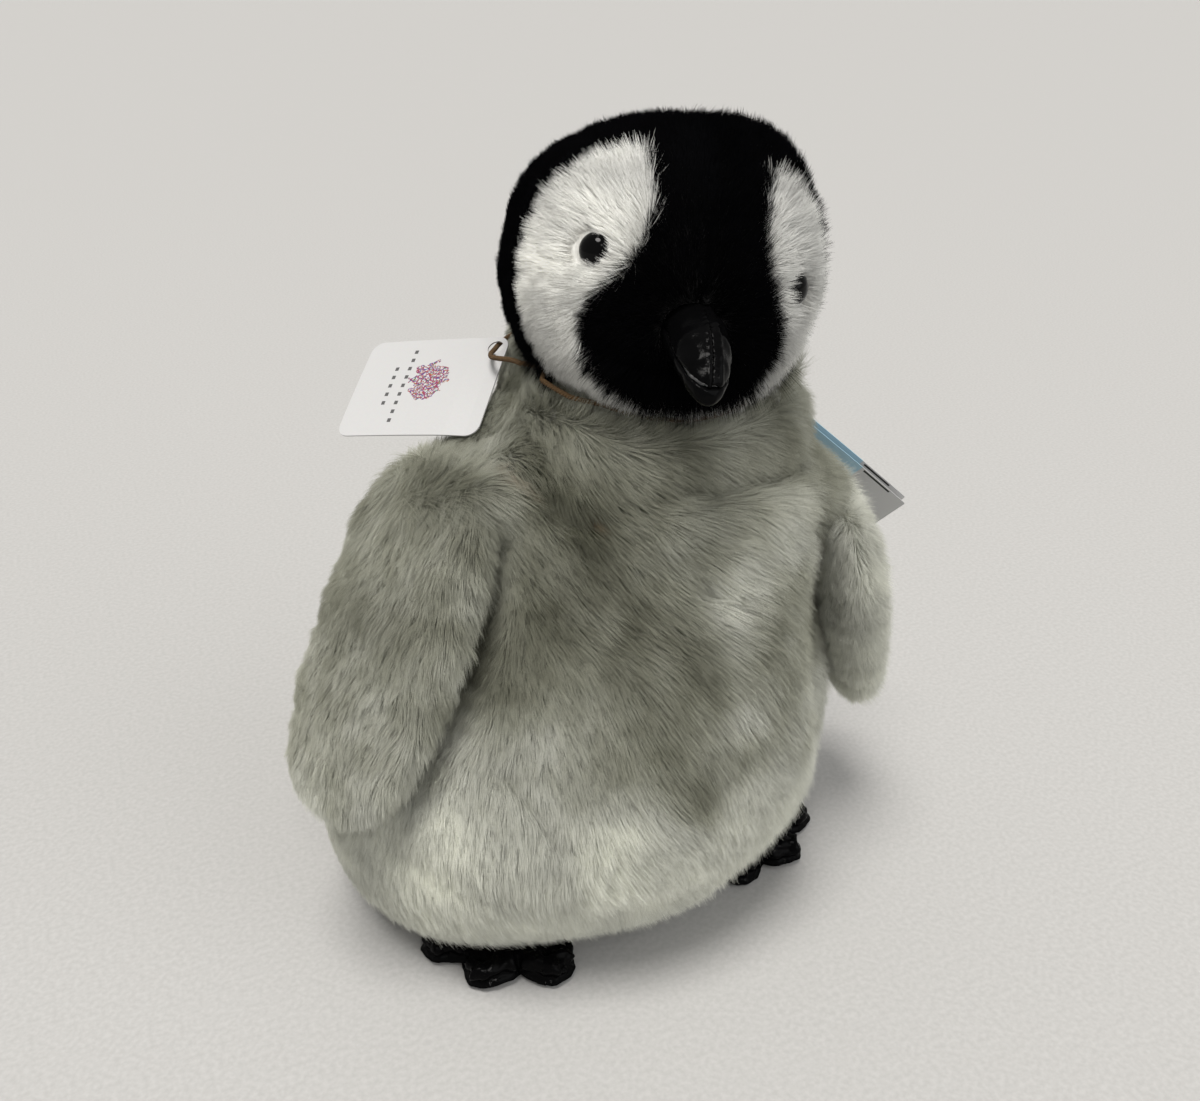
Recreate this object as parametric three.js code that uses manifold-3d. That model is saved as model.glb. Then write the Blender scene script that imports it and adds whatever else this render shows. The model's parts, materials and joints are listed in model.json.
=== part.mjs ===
// A plush emperor penguin chick, about 300 mm tall: sewn fur panels over fibre filling, a pellet bag
// in the base, leather-look beak and feet, safety eyes and two paper tags.
// Millimetres, +Z up, the bird looks along -Y, and +X is its own left. The origin is the middle of the
// flat base, on the surface it stands on.
import * as THREE from "three";
import { mergeVertices } from "three/addons/utils/BufferGeometryUtils.js";
import Module from "manifold-3d";

const wasm = await Module();
wasm.setup();

// ---- Driving dimensions ----
const GAP = 0.4; // between neighbouring sewn pieces
const FUR = 4; // fur fabric with its pile laid flat
const LEATHER = 1.2; // leather-look sheet with its backing
const BASE_TOP = 5; // height of the seam round the base panel
const RING = 28; // points round a body or head section

// Body outline, bottom to top: height, half width, depth to the front, depth to the back, centre x, y.
const BODY = [
  [0, 54, 30, 48, -8, 0],
  [4, 68, 40, 59, -9, 0],
  [12, 81, 49, 70, -9, 0],
  [30, 94, 65, 82, -9, 0],
  [52, 99, 77, 86, -8, 0],
  [80, 95, 80, 82, -5, -1],
  [110, 84, 75, 74, 1, -3],
  [140, 72, 66, 65, 5, -6],
  [170, 62, 54, 56, 9, -10],
  [195, 54, 43, 50, 11, -14],
  [212, 49, 36, 47, 12, -16],
  [232, 43, 28, 41, 13, -17],
];

const HEAD = { centre: [11.5, -18.5, 245], size: [49.5, 49.5, 46.5], crown: 2.4, turn: -14, tilt: 13 };
const SOCKET = 50.9; // radius of the hollow in the neck that the head turns in
const EYE = { lon: 40.5, lat: 12, radius: 5, shank: 1.8, length: 15, washer: 6.5 };

// White cheek, seen from the head's centre: longitude from the face's middle and latitude, in degrees.
// It runs from under the chin round the beak mask, over the cheek, and down the edge of the hood.
const CHEEK = [
  [0, -38], [14, -36], [28, -30], [37, -22], [40, -12], [37, -2], [29, 7], [24, 18], [24, 31],
  [30, 43], [39, 51], [49, 51], [59, 43], [68, 27], [72, 8], [72, -12], [67, -27], [60, -42], [50, -62],
  [0, -86],
];

// Beak sections from root to tip: reach from the face, half width, half height, height of the middle.
const BEAK = [
  [-8, 9, 9, -5],
  [3, 9, 9, -6],
  [11, 8.2, 8.2, -8],
  [18, 6.4, 6.2, -11],
  [22, 4.2, 4, -13.5],
  [24, 1.8, 1.6, -15],
];

// Flipper: how far along its length, half width, half thickness.
const FLIPPER = [
  [0, 15, 4.6],
  [0.07, 21, 6.4],
  [0.2, 26.5, 8.2],
  [0.45, 28.5, 8.8],
  [0.7, 27.5, 8.4],
  [0.87, 24, 7.4],
  [0.96, 17, 5.6],
  [1, 8, 3],
];
const FLIPPERS = {
  right: { root: [-59.5, -15, 191], tip: [-112, -27.5, 82], facing: 62 },
  left: { root: [76, -36, 162], tip: [113, -4, 60], facing: -75 },
};

// Foot: three toes fanned from a point behind the hinge; toe, web and spread are measured from it.
const FOOT = { toe: 38, web: 27, behind: 13, thick: 8.6, sole: 1.4, spread: 42 };
const FEET = {
  right: { hinge: [-54, -31], out: -40 },
  left: { hinge: [58, -19], out: 28 },
};
const FLEX = 12; // how far a foot can lift, in degrees

// Cards hang by a hole near one corner: the hole, then the ways the long and the short sides run.
const CARD = { thick: 0.6, corner: 5 };
const TAG = {
  hole: [-32, 13, 217.5],
  long: [-0.66, 0.74, -0.15],
  short: [-0.56, -0.61, -0.56],
  size: [55, 40],
  bore: 2.8,
};
const INFO = {
  hole: [101, 21, 162.8],
  long: [0.682, -0.346, -0.643],
  short: [-0.455, 0.531, -0.714],
  size: [56, 38],
  bore: 1.6,
};
const INSET = 4.5; // from a card's edges to the middle of its hole
const CORD = 0.75; // cord radius

// ---- Helpers ----
const radians = THREE.MathUtils.degToRad;

// Rows of numbers, read as smooth curves of their first column.
function row(table, t) {
  const last = table.length - 1;
  let i = 0;
  while (i < last - 1 && t > table[i + 1][0]) i++;
  const [a, b] = [table[i], table[i + 1]];
  const before = table[Math.max(i - 1, 0)];
  const after = table[Math.min(i + 2, last)];
  const span = b[0] - a[0];
  const u = THREE.MathUtils.clamp((t - a[0]) / span, 0, 1);
  return a.map((from, k) => {
    const to = b[k];
    const leave = i > 0 ? ((to - before[k]) / (b[0] - before[0])) * span : to - from;
    const arrive = i + 2 <= last ? ((after[k] - from) / (after[0] - a[0])) * span : to - from;
    const u2 = u * u;
    const u3 = u2 * u;
    return (
      (2 * u3 - 3 * u2 + 1) * from + (u3 - 2 * u2 + u) * leave + (3 * u2 - 2 * u3) * to + (u3 - u2) * arrive
    );
  });
}

// A closed solid through rings of points, with a fan over each end ring.
function loft(rings) {
  const count = rings[0].length;
  const points = rings.flat();
  const ends = [rings[0], rings[rings.length - 1]];
  ends.forEach((ring) => {
    const middle = new THREE.Vector3();
    ring.forEach((p) => middle.addScaledVector(p, 1 / count));
    points.push(middle);
  });
  const index = [];
  for (let j = 0; j < count; j++) {
    const next = (j + 1) % count;
    for (let i = 0; i < rings.length - 1; i++) {
      const [a, b] = [i * count + j, i * count + next];
      index.push(a, b, b + count, a, b + count, a + count);
    }
    const top = (rings.length - 1) * count;
    index.push(points.length - 2, next, j, points.length - 1, top + j, top + next);
  }
  const geometry = new THREE.BufferGeometry().setFromPoints(points);
  geometry.setIndex(index);
  return geometry;
}

// A three.js geometry as a solid that can be cut and joined.
function solid(geometry) {
  const bare = geometry.clone();
  bare.deleteAttribute("normal");
  bare.deleteAttribute("uv");
  const merged = mergeVertices(bare, 1e-3);
  const mesh = new wasm.Mesh({
    numProp: 3,
    vertProperties: new Float32Array(merged.attributes.position.array),
    triVerts: new Uint32Array(merged.index.array),
  });
  const made = new wasm.Manifold(mesh);
  return made.volume() < 0 ? flipped(merged) : made;
}

function flipped(geometry) {
  const index = geometry.index.array;
  for (let i = 0; i < index.length; i += 3) [index[i], index[i + 1]] = [index[i + 1], index[i]];
  return solid(geometry);
}

function ball(radius, [x, y, z], segments = 28) {
  const geometry = new THREE.SphereGeometry(radius, segments, segments / 2).rotateX(Math.PI / 2);
  return solid(geometry.translate(x, y, z));
}

function block([x0, y0, z0], [x1, y1, z1]) {
  const geometry = new THREE.BoxGeometry(x1 - x0, y1 - y0, z1 - z0);
  return solid(geometry.translate((x0 + x1) / 2, (y0 + y1) / 2, (z0 + z1) / 2));
}

function rod(radius, length, segments = 16) {
  return new THREE.CylinderGeometry(radius, radius, length, segments);
}

const materials = {
  grey_fur: new THREE.MeshStandardMaterial({ color: 0x8f9087, roughness: 0.95 }),
  black_fur: new THREE.MeshStandardMaterial({ color: 0x0b0b0c, roughness: 0.9 }),
  white_fur: new THREE.MeshStandardMaterial({ color: 0xdad8d2, roughness: 0.95 }),
  leather: new THREE.MeshStandardMaterial({ color: 0x0c0c0d, roughness: 0.35 }),
  fibre: new THREE.MeshStandardMaterial({ color: 0xeeeeea, roughness: 1 }),
  calico: new THREE.MeshStandardMaterial({ color: 0xd8cfb8, roughness: 0.95 }),
  pellets: new THREE.MeshStandardMaterial({ color: 0xe6e6e6, roughness: 0.5 }),
  eye: new THREE.MeshStandardMaterial({ color: 0x060505, roughness: 0.08 }),
  washer: new THREE.MeshStandardMaterial({ color: 0xdedcd2, roughness: 0.5 }),
  card: new THREE.MeshStandardMaterial({ color: 0xf0eff2, roughness: 0.6 }),
  cord: new THREE.MeshStandardMaterial({ color: 0x9a6b2c, roughness: 0.7 }),
  nylon: new THREE.MeshStandardMaterial({ color: 0xe8eaea, roughness: 0.3 }),
};

const penguin = new THREE.Group();

// Adds a solid or a geometry to the bird as one named piece.
function piece(name, shape, material, group = penguin) {
  let geometry = shape;
  if (!shape.isBufferGeometry) {
    const { vertProperties, triVerts } = shape.getMesh();
    geometry = new THREE.BufferGeometry();
    geometry.setAttribute("position", new THREE.BufferAttribute(vertProperties, 3));
    geometry.setIndex(new THREE.BufferAttribute(triVerts, 1));
    geometry.computeVertexNormals();
  }
  const mesh = new THREE.Mesh(geometry, material);
  mesh.name = name;
  group.add(mesh);
  return mesh;
}

// ---- Body ----
// The body's outline drawn in by some depth all over, flat underneath.
function bodyForm(inset) {
  const [bottom, top] = [BODY[0][0] + inset, BODY[BODY.length - 1][0]];
  const heights = BODY.map((r) => r[0]).filter((z) => z > bottom + 1);
  return loft(
    [bottom, ...heights, top + inset].map((z) => {
      const [, half, front, back, x, y] = row(BODY, z);
      return Array.from({ length: RING }, (_, i) => {
        const angle = (i / RING) * 2 * Math.PI;
        const depth = Math.sin(angle) < 0 ? front : back;
        const px = x + (half - inset) * Math.cos(angle);
        const py = y + (depth - inset) * Math.sin(angle);
        return new THREE.Vector3(px, py, z);
      });
    }),
  );
}

const BIG = 200;
const socket = ball(SOCKET, HEAD.centre, 26);
const neckAxis = [HEAD.centre[0], HEAD.centre[1]];
const NECK = { radius: 27, bottom: 160 };

function neckPlug(grow) {
  const height = HEAD.centre[2] - NECK.bottom + grow;
  const shape = rod(NECK.radius + grow, height, 24).rotateX(Math.PI / 2);
  return solid(shape.translate(...neckAxis, NECK.bottom - grow + height / 2));
}

// Pellet bag: a squat bag of calico with its mouth on top, full of plastic pellets.
const BAG = { at: [-3, 4, FUR + GAP + 17], size: [56, 42, 17], cloth: 0.8, mouth: 5 };

function bagForm(inset) {
  const [x, y, z] = BAG.size;
  const form = new THREE.SphereGeometry(1, 16, 8).rotateX(Math.PI / 2);
  return solid(form.scale(x - inset, y - inset, z - inset).translate(...BAG.at));
}

function addBody() {
  const room = footRoom("right").add(footRoom("left"));
  const shell = solid(bodyForm(0)).subtract(solid(bodyForm(FUR))).subtract(socket).subtract(room);
  const base = block([-BIG, -BIG, -1], [BIG, BIG, BASE_TOP]);
  const upper = block([-BIG, -BIG, BASE_TOP + GAP], [BIG, BIG, 2 * BIG]);
  const front = block([-BIG, -BIG, 0], [BIG, -GAP / 2, 2 * BIG]);
  const backRight = block([-BIG, GAP / 2, 0], [-GAP / 2, BIG, 2 * BIG]);
  const backLeft = block([GAP / 2, GAP / 2, 0], [BIG, BIG, 2 * BIG]);
  const skin = shell.intersect(upper);
  piece("body_front_panel", skin.intersect(front), materials.grey_fur);
  piece("body_back_right_panel", skin.intersect(backRight), materials.grey_fur);
  piece("body_back_left_panel", skin.intersect(backLeft), materials.grey_fur);
  piece("body_base_panel", shell.intersect(base), materials.grey_fur);

  const filling = solid(bodyForm(FUR + GAP)).subtract(socket).subtract(room);
  piece("body_stuffing", filling.subtract(neckPlug(GAP)).subtract(bagForm(-GAP)), materials.fibre);
  const mouth = rod(BAG.mouth, 20).rotateX(Math.PI / 2).translate(BAG.at[0], BAG.at[1], BAG.at[2] + 20);
  piece("neck_stuffing", neckPlug(0).subtract(socket), materials.fibre);
  piece("pellet_bag", bagForm(0).subtract(bagForm(BAG.cloth)).subtract(solid(mouth)), materials.calico);
  piece("pellet_fill", bagForm(BAG.cloth + GAP), materials.pellets);
}

// ---- Head, built about its own centre and then set on the neck ----
const onHead = (lon, lat, reach = 1) => {
  const [a, b] = [radians(lon), radians(lat)];
  const out = new THREE.Vector3(Math.sin(a) * Math.cos(b), -Math.cos(a) * Math.cos(b), Math.sin(b));
  return out.multiplyScalar(reach);
};

function headForm(inset) {
  const [x, y, z] = HEAD.size;
  const form = new THREE.SphereGeometry(1, RING, RING / 2).rotateX(Math.PI / 2);
  const points = form.attributes.position;
  for (let i = 0; i < points.count; i++) {
    const [px, py, pz] = [points.getX(i), points.getY(i), points.getZ(i)];
    const power = pz > 0 ? HEAD.crown : 2;
    const flat = Math.hypot(px, pz);
    const round = Math.pow(Math.pow(Math.abs(px), power) + Math.pow(Math.abs(pz), power), 1 / power);
    const grow = round > 1e-6 ? flat / round : 1;
    points.setXYZ(i, px * grow * (x - inset), py * (y - inset), pz * grow * (z - inset));
  }
  return solid(form);
}

// A wedge from the head's centre that cuts one cheek, its edge moved out by an angle.
function cheekWedge(side, grow) {
  const edge = CHEEK.map(([lon, lat]) => onHead(lon, lat));
  const last = edge.length - 1;
  const points = edge.map((p, i) => {
    const along = edge[Math.min(i + 1, last)].clone().sub(edge[Math.max(i - 1, 0)]);
    const away = p.clone().cross(along).normalize();
    return p.clone().addScaledVector(away, radians(grow)).normalize().multiplyScalar(BIG);
  });
  for (const i of [0, last]) points[i].x = -BIG * radians(1);
  const flat = CHEEK.map(([lon, lat]) => new THREE.Vector2(lon, lat));
  const index = THREE.ShapeUtils.triangulateShape(flat, []).flat();
  points.forEach((_, i) => index.push(points.length, i, (i + 1) % points.length));
  points.push(new THREE.Vector3());
  points.forEach((p) => (p.x *= side));
  const geometry = new THREE.BufferGeometry().setFromPoints(points);
  geometry.setIndex(index);
  return solid(geometry);
}

// How far out the head's surface is in a direction.
function headReach(direction) {
  const [x, y, z] = direction.toArray().map((d, k) => Math.abs(d) / HEAD.size[k]);
  const power = direction.z > 0 ? HEAD.crown : 2;
  return 1 / Math.sqrt(Math.pow(Math.pow(x, power) + Math.pow(z, power), 2 / power) + y * y);
}

// Places a shape that was made along +Y so that it points out of the head at an eye.
function atEye(geometry, side, reach) {
  const out = onHead(side * EYE.lon, EYE.lat);
  const turn = new THREE.Quaternion().setFromUnitVectors(new THREE.Vector3(0, 1, 0), out);
  return geometry.applyQuaternion(turn).translate(out.x * reach, out.y * reach, out.z * reach);
}

const eyeSeat = headReach(onHead(EYE.lon, EYE.lat)); // the eye's flange rests here

function eyeShape() {
  const { radius, shank, length } = EYE;
  const onDome = (angle) => [radius * Math.cos(radians(angle)), 0.8 * radius * Math.sin(radians(angle))];
  const dome = [90, 70, 50, 30, 10].map(onDome);
  const profile = [[0, -length], [shank * 0.6, -length], [shank, 1.5 - length], [shank, -0.6], [radius, -0.6]];
  const points = [...profile, ...dome.reverse()].map(([x, y]) => new THREE.Vector2(Math.max(x, 0), y));
  points[points.length - 1].x = 0;
  return new THREE.LatheGeometry(points, 20);
}

function washerShape() {
  const [inner, outer, half] = [EYE.shank + 0.3, EYE.washer, 0.6];
  const points = [[inner, -half], [outer, -half], [outer, half], [inner, half], [inner, -half]];
  return new THREE.LatheGeometry(points.map(([x, y]) => new THREE.Vector2(x, y)), 20);
}

function beakForm(inset) {
  const rings = BEAK.map(([reach, half, tall, z]) => {
    return Array.from({ length: 20 }, (_, i) => {
      const angle = (i / 20) * 2 * Math.PI;
      const across = Math.max(half - inset, 0.6) * Math.cos(angle);
      const up = Math.max(tall - inset, 0.6) * Math.sin(angle);
      return new THREE.Vector3(across, -(HEAD.size[1] + reach - (reach > 20 ? inset : 0)), z + up);
    });
  });
  return solid(loft(rings));
}

// The gape: a sloping cut through the beak that follows its droop, thin as the gap.
function beakPart(above) {
  const slope = Math.atan2(10, 34);
  const [low, high] = above ? [GAP / 2, BIG] : [-BIG, -GAP / 2];
  const slab = new THREE.BoxGeometry(2 * BIG, 2 * BIG, high - low).translate(0, 0, (low + high) / 2);
  return solid(slab.rotateX(slope).translate(0, -(HEAD.size[1] + 28), -13.5));
}

function addHead() {
  const head = new THREE.Group();
  head.position.set(...HEAD.centre);
  head.rotation.set(0, radians(HEAD.tilt), radians(HEAD.turn), "ZYX");
  penguin.add(head);
  const shell = headForm(0).subtract(headForm(FUR));
  const beakSeat = beakForm(-GAP);
  let hood = shell.subtract(beakSeat);
  const sides = { right: -1, left: 1 };
  let filling = headForm(FUR + GAP).subtract(beakSeat);
  for (const [name, side] of Object.entries(sides)) {
    const half = block([side < 0 ? -BIG : GAP / 2, -BIG, -BIG], [side < 0 ? -GAP / 2 : BIG, BIG, BIG]);
    const hole = solid(atEye(rod(EYE.shank + 0.3, 60), side, eyeSeat));
    const cheek = shell.intersect(cheekWedge(side, 0)).intersect(half);
    piece(`cheek_${name}_panel`, cheek.subtract(hole).subtract(beakSeat), materials.white_fur, head);
    hood = hood.subtract(cheekWedge(side, 0.6));
    piece(`eye_${name}`, solid(atEye(eyeShape(), side, eyeSeat + 1.2)), materials.eye, head);
    const grip = eyeSeat - FUR - 2.6;
    piece(`eye_${name}_washer`, solid(atEye(washerShape(), side, grip)), materials.washer, head);
    const room = solid(atEye(rod(EYE.washer + GAP, 6), side, grip + 1.5));
    filling = filling.subtract(hole).subtract(room);
  }
  const hoodRight = hood.intersect(block([-BIG, -BIG, -BIG], [-GAP / 2, BIG, BIG]));
  const hoodLeft = hood.intersect(block([GAP / 2, -BIG, -BIG], [BIG, BIG, BIG]));
  piece("hood_right_panel", hoodRight, materials.black_fur, head);
  piece("hood_left_panel", hoodLeft, materials.black_fur, head);
  piece("head_stuffing", filling, materials.fibre, head);

  const skin = beakForm(0).subtract(beakForm(LEATHER));
  const upper = skin.intersect(beakPart(true));
  const beakRight = upper.intersect(block([-BIG, -BIG, -BIG], [-0.1, BIG, BIG]));
  const beakLeft = upper.intersect(block([0.1, -BIG, -BIG], [BIG, BIG, BIG]));
  piece("beak_upper_right", beakRight, materials.leather, head);
  piece("beak_upper_left", beakLeft, materials.leather, head);
  piece("beak_lower", skin.intersect(beakPart(false)), materials.leather, head);
  piece("beak_stuffing", beakForm(LEATHER + GAP), materials.fibre, head);
}

// ---- Flippers: a fur outer and inner panel round a thin pad, hanging from the shoulder ----
function flipperForm(length, inset, half) {
  const count = 20;
  const rings = FLIPPER.map(([along, wide, thick]) => {
    const reach = THREE.MathUtils.clamp(along * length, inset, length - inset);
    return Array.from({ length: count }, (_, i) => {
      const angle = (i / count) * 2 * Math.PI;
      const across = Math.max(wide - inset, 0.8) * Math.cos(angle);
      const out = Math.max(thick - inset, 0.5) * Math.sin(angle);
      return new THREE.Vector3(across, out, -reach);
    });
  });
  const made = solid(loft(rings));
  if (!half) return made;
  const [low, high] = half > 0 ? [GAP / 2, BIG] : [-BIG, -GAP / 2];
  return made.intersect(block([-BIG, low, -BIG], [BIG, high, BIG]));
}

function addFlipper(name) {
  const { root, tip, facing } = FLIPPERS[name];
  const down = new THREE.Vector3(...tip).sub(new THREE.Vector3(...root));
  const length = down.length();
  const across = new THREE.Vector3(Math.cos(radians(facing)), -Math.sin(radians(facing)), 0);
  const up = down.clone().normalize().negate();
  across.addScaledVector(up, -across.dot(up)).normalize();
  const out = new THREE.Vector3().crossVectors(up, across);
  const flipper = new THREE.Group();
  flipper.position.set(...root);
  flipper.setRotationFromMatrix(new THREE.Matrix4().makeBasis(across, out, up));
  penguin.add(flipper);
  const outward = name === "right" ? -1 : 1;
  const side = Math.sign(out.x) === outward ? 1 : -1;
  const skin = (half) => flipperForm(length, 0, half).subtract(flipperForm(length, 3, 0));
  piece(`flipper_${name}_outer_panel`, skin(side), materials.grey_fur, flipper);
  piece(`flipper_${name}_inner_panel`, skin(-side), materials.grey_fur, flipper);
  piece(`flipper_${name}_padding`, flipperForm(length, 3 + GAP, 0), materials.fibre, flipper);
}

// ---- Feet: a leather-look upper and sole round a pad, three toes each ----
function footOutline(inset) {
  const { toe, web, behind, spread } = FOOT;
  const outline = new THREE.Shape();
  const steps = 28;
  const widest = 1.5 * spread;
  for (let i = 0; i <= steps; i++) {
    const angle = (2 * (i / steps) - 1) * widest;
    const lobe = Math.pow(Math.abs(Math.cos((Math.PI * angle) / spread)), 1.2);
    const reach = web + (toe - web) * lobe - inset;
    const [x, y] = [reach * Math.sin(radians(angle)), behind - reach * Math.cos(radians(angle))];
    if (i === 0) outline.moveTo(x, Math.min(y, -inset));
    else outline.lineTo(x, Math.min(y, -inset));
  }
  outline.closePath();
  return outline;
}

// The foot's solid between two heights, its top edge softened and its root rounded about the hinge.
function footForm(inset, low, high) {
  const bevel = 2.4;
  const shape = new THREE.ExtrudeGeometry(footOutline(inset + bevel), {
    depth: high - bevel,
    steps: 1,
    bevelEnabled: true,
    bevelThickness: bevel,
    bevelSize: bevel,
    bevelSegments: 1,
  });
  const radius = FOOT.thick / 2 - inset;
  const root = rod(radius, 2 * (FOOT.web - 7 - inset), 20)
    .rotateZ(Math.PI / 2)
    .translate(0, 0, FOOT.thick / 2);
  return solid(shape).add(solid(root)).intersect(block([-BIG, -BIG, low], [BIG, radius + 0.01, high + 1]));
}

function footPlace(name) {
  const { hinge, out } = FEET[name];
  const place = new THREE.Object3D();
  place.position.set(hinge[0], hinge[1], 0.2);
  place.rotation.z = radians(out);
  place.updateMatrix();
  return place;
}

// The notch in the body's underside that lets a foot lift.
function footRoom(name) {
  const { thick, web } = FOOT;
  const [back, top, ahead] = [thick / 2 + 0.8, thick + 0.6, 40];
  const side = new THREE.Shape();
  side.moveTo(back, -2);
  side.lineTo(back, top);
  side.lineTo(0, top);
  side.lineTo(-ahead, top + ahead * Math.tan(radians(FLEX + 2)));
  side.lineTo(-ahead, -2);
  side.closePath();
  const half = web + 1;
  const wedge = new THREE.ExtrudeGeometry(side, { depth: 2 * half, bevelEnabled: false });
  const turned = new THREE.Matrix4().makeBasis(
    new THREE.Vector3(0, 1, 0),
    new THREE.Vector3(0, 0, 1),
    new THREE.Vector3(1, 0, 0),
  );
  wedge.translate(0, 0, -half).applyMatrix4(turned).applyMatrix4(footPlace(name).matrix);
  return solid(wedge);
}

function addFoot(name) {
  const foot = footPlace(name);
  penguin.add(foot);
  const { thick, sole } = FOOT;
  const upper = footForm(0, sole + GAP, thick).subtract(footForm(LEATHER, sole - 1, thick - LEATHER));
  piece(`foot_${name}_upper`, upper, materials.leather, foot);
  const soleForm = footForm(0, 0, thick).intersect(block([-BIG, -BIG, 0], [BIG, BIG, sole]));
  piece(`foot_${name}_sole`, soleForm, materials.leather, foot);
  const pad = new THREE.ExtrudeGeometry(footOutline(LEATHER + 3), {
    depth: thick - sole - LEATHER - 2 * GAP,
    bevelEnabled: false,
  });
  piece(`foot_${name}_padding`, solid(pad.translate(0, 0, sole + GAP)), materials.fibre, foot);
}

// ---- Neck cord, hang tag and folded card ----
// A flat card with rounded corners and a hole, lying in its own frame with the hole at the origin.
function cardShape({ size: [long, short], bore }, thick, z) {
  const { corner } = CARD;
  const [x0, y0, x1, y1] = [-INSET, -INSET, long - INSET, short - INSET];
  const outline = new THREE.Shape();
  outline.moveTo(x0 + corner, y0);
  outline.lineTo(x1 - corner, y0);
  outline.absarc(x1 - corner, y0 + corner, corner, -Math.PI / 2, 0);
  outline.absarc(x1 - corner, y1 - corner, corner, 0, Math.PI / 2);
  outline.absarc(x0 + corner, y1 - corner, corner, Math.PI / 2, Math.PI);
  outline.absarc(x0 + corner, y0 + corner, corner, Math.PI, 1.5 * Math.PI);
  outline.holes.push(new THREE.Path().absarc(0, 0, bore, 0, 2 * Math.PI, true));
  const card = new THREE.ExtrudeGeometry(outline, { depth: thick, bevelEnabled: false, curveSegments: 5 });
  return solid(card.translate(0, 0, z));
}

// Places a card by its hole, its long side and its short side.
function cardPlace({ hole, long, short }) {
  const x = new THREE.Vector3(...long).normalize();
  const y = new THREE.Vector3(...short);
  y.addScaledVector(x, -x.dot(y)).normalize();
  const place = new THREE.Group();
  place.position.set(...hole);
  place.setRotationFromMatrix(new THREE.Matrix4().makeBasis(x, y, new THREE.Vector3().crossVectors(x, y)));
  penguin.add(place);
  return place;
}

// The height at which the body's outline meets the hollow for the head, at an angle round the neck.
function creaseHeight(angle) {
  let low = 180;
  let high = 240;
  for (let i = 0; i < 30; i++) {
    const z = (low + high) / 2;
    const inside = collar(angle, z).distanceTo(new THREE.Vector3(...HEAD.centre)) < SOCKET;
    if (inside) high = z;
    else low = z;
  }
  return low;
}

function collar(angle, z, clear = 0) {
  const [, half, front, back, x, y] = row(BODY, z);
  const depth = Math.sin(angle) < 0 ? front : back;
  return new THREE.Vector3(
    x + (half + clear) * Math.cos(angle),
    y + (depth + clear) * Math.sin(angle),
    z,
  );
}

// The cord lies round the collar just below the crease and bulges out to pass through the tag's hole.
function addNeckCord() {
  const hole = new THREE.Vector3(...TAG.hole);
  const count = 24;
  const points = Array.from({ length: count }, (_, i) => {
    const angle = (i / count) * 2 * Math.PI;
    return collar(angle, creaseHeight(angle) + 0.5, CORD + 0.8);
  });
  const away = points.map((p) => p.distanceTo(hole));
  const nearest = away.indexOf(Math.min(...away));
  const along = new THREE.Vector3(hole.y - HEAD.centre[1], HEAD.centre[0] - hole.x, 0).normalize();
  for (const step of [-1, 0, 1]) {
    points[nearest + step] = hole.clone().addScaledVector(along, -8 * step);
  }
  const curve = new THREE.CatmullRomCurve3(points, true);
  piece("neck_cord", solid(new THREE.TubeGeometry(curve, 72, CORD, 5, true)), materials.cord);
}

// A nylon fastener from the seam at the back of the left shoulder, through the folded card's hole, with
// a bar across its end.
function addCardFastener() {
  const hole = new THREE.Vector3(...INFO.hole);
  const [, , , , x, y] = row(BODY, hole.z);
  const sewn = collar(Math.atan2(hole.y - y, hole.x - x), hole.z + 5, 0.8);
  const out = new THREE.Vector3(...INFO.long).cross(new THREE.Vector3(...INFO.short)).normalize();
  const stops = [-6, -3, 0, 2.6].map((step) => hole.clone().addScaledVector(out, step));
  const path = new THREE.CatmullRomCurve3([sewn, sewn.clone().lerp(stops[0], 0.6), ...stops]);
  const round = new THREE.Shape().absarc(0, 0, 0.5, 0, 2 * Math.PI);
  const thread = new THREE.ExtrudeGeometry(round, {
    steps: 24,
    curveSegments: 3,
    extrudePath: path,
    bevelEnabled: false,
  });
  const end = hole.clone().addScaledVector(out, 2.4);
  const across = new THREE.Vector3(...INFO.short).normalize();
  const turned = new THREE.Quaternion().setFromUnitVectors(new THREE.Vector3(0, 1, 0), across);
  const bar = rod(0.7, 9, 8).applyQuaternion(turned).translate(...end.toArray());
  piece("info_card_fastener", solid(thread).add(solid(bar)), materials.nylon);
}

function addCards() {
  piece("hang_tag", cardShape(TAG, CARD.thick, -CARD.thick / 2), materials.card, cardPlace(TAG));
  const info = cardPlace(INFO);
  const leaf = 0.3; // thickness of one leaf of the folded card
  const apart = 0.5; // from the middle of the fold to each leaf
  const [far, side] = INFO.size.map((extent) => extent - INSET);
  const fold = block([-INSET, side - 1, -apart - leaf / 2], [far - CARD.corner, side, apart + leaf / 2]);
  const leaves = cardShape(INFO, leaf, apart).add(cardShape(INFO, leaf, -apart - leaf));
  piece("info_card", leaves.add(fold), materials.card, info);
}

addBody();
addHead();
addFlipper("right");
addFlipper("left");
addFoot("right");
addFoot("left");
addNeckCord();
addCards();
addCardFastener();

export default penguin;
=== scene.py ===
"""Looks of the plush penguin chick: fur grown on skins over the CAD frame, leather-look beak and feet,
cards and cord. Metres, in the CAD frame: +Z up, the bird looks along -Y, +X is its own left."""

import json
import math

import bmesh
import bpy
import numpy as np
from mathutils import Euler, Matrix, Vector, noise


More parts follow.
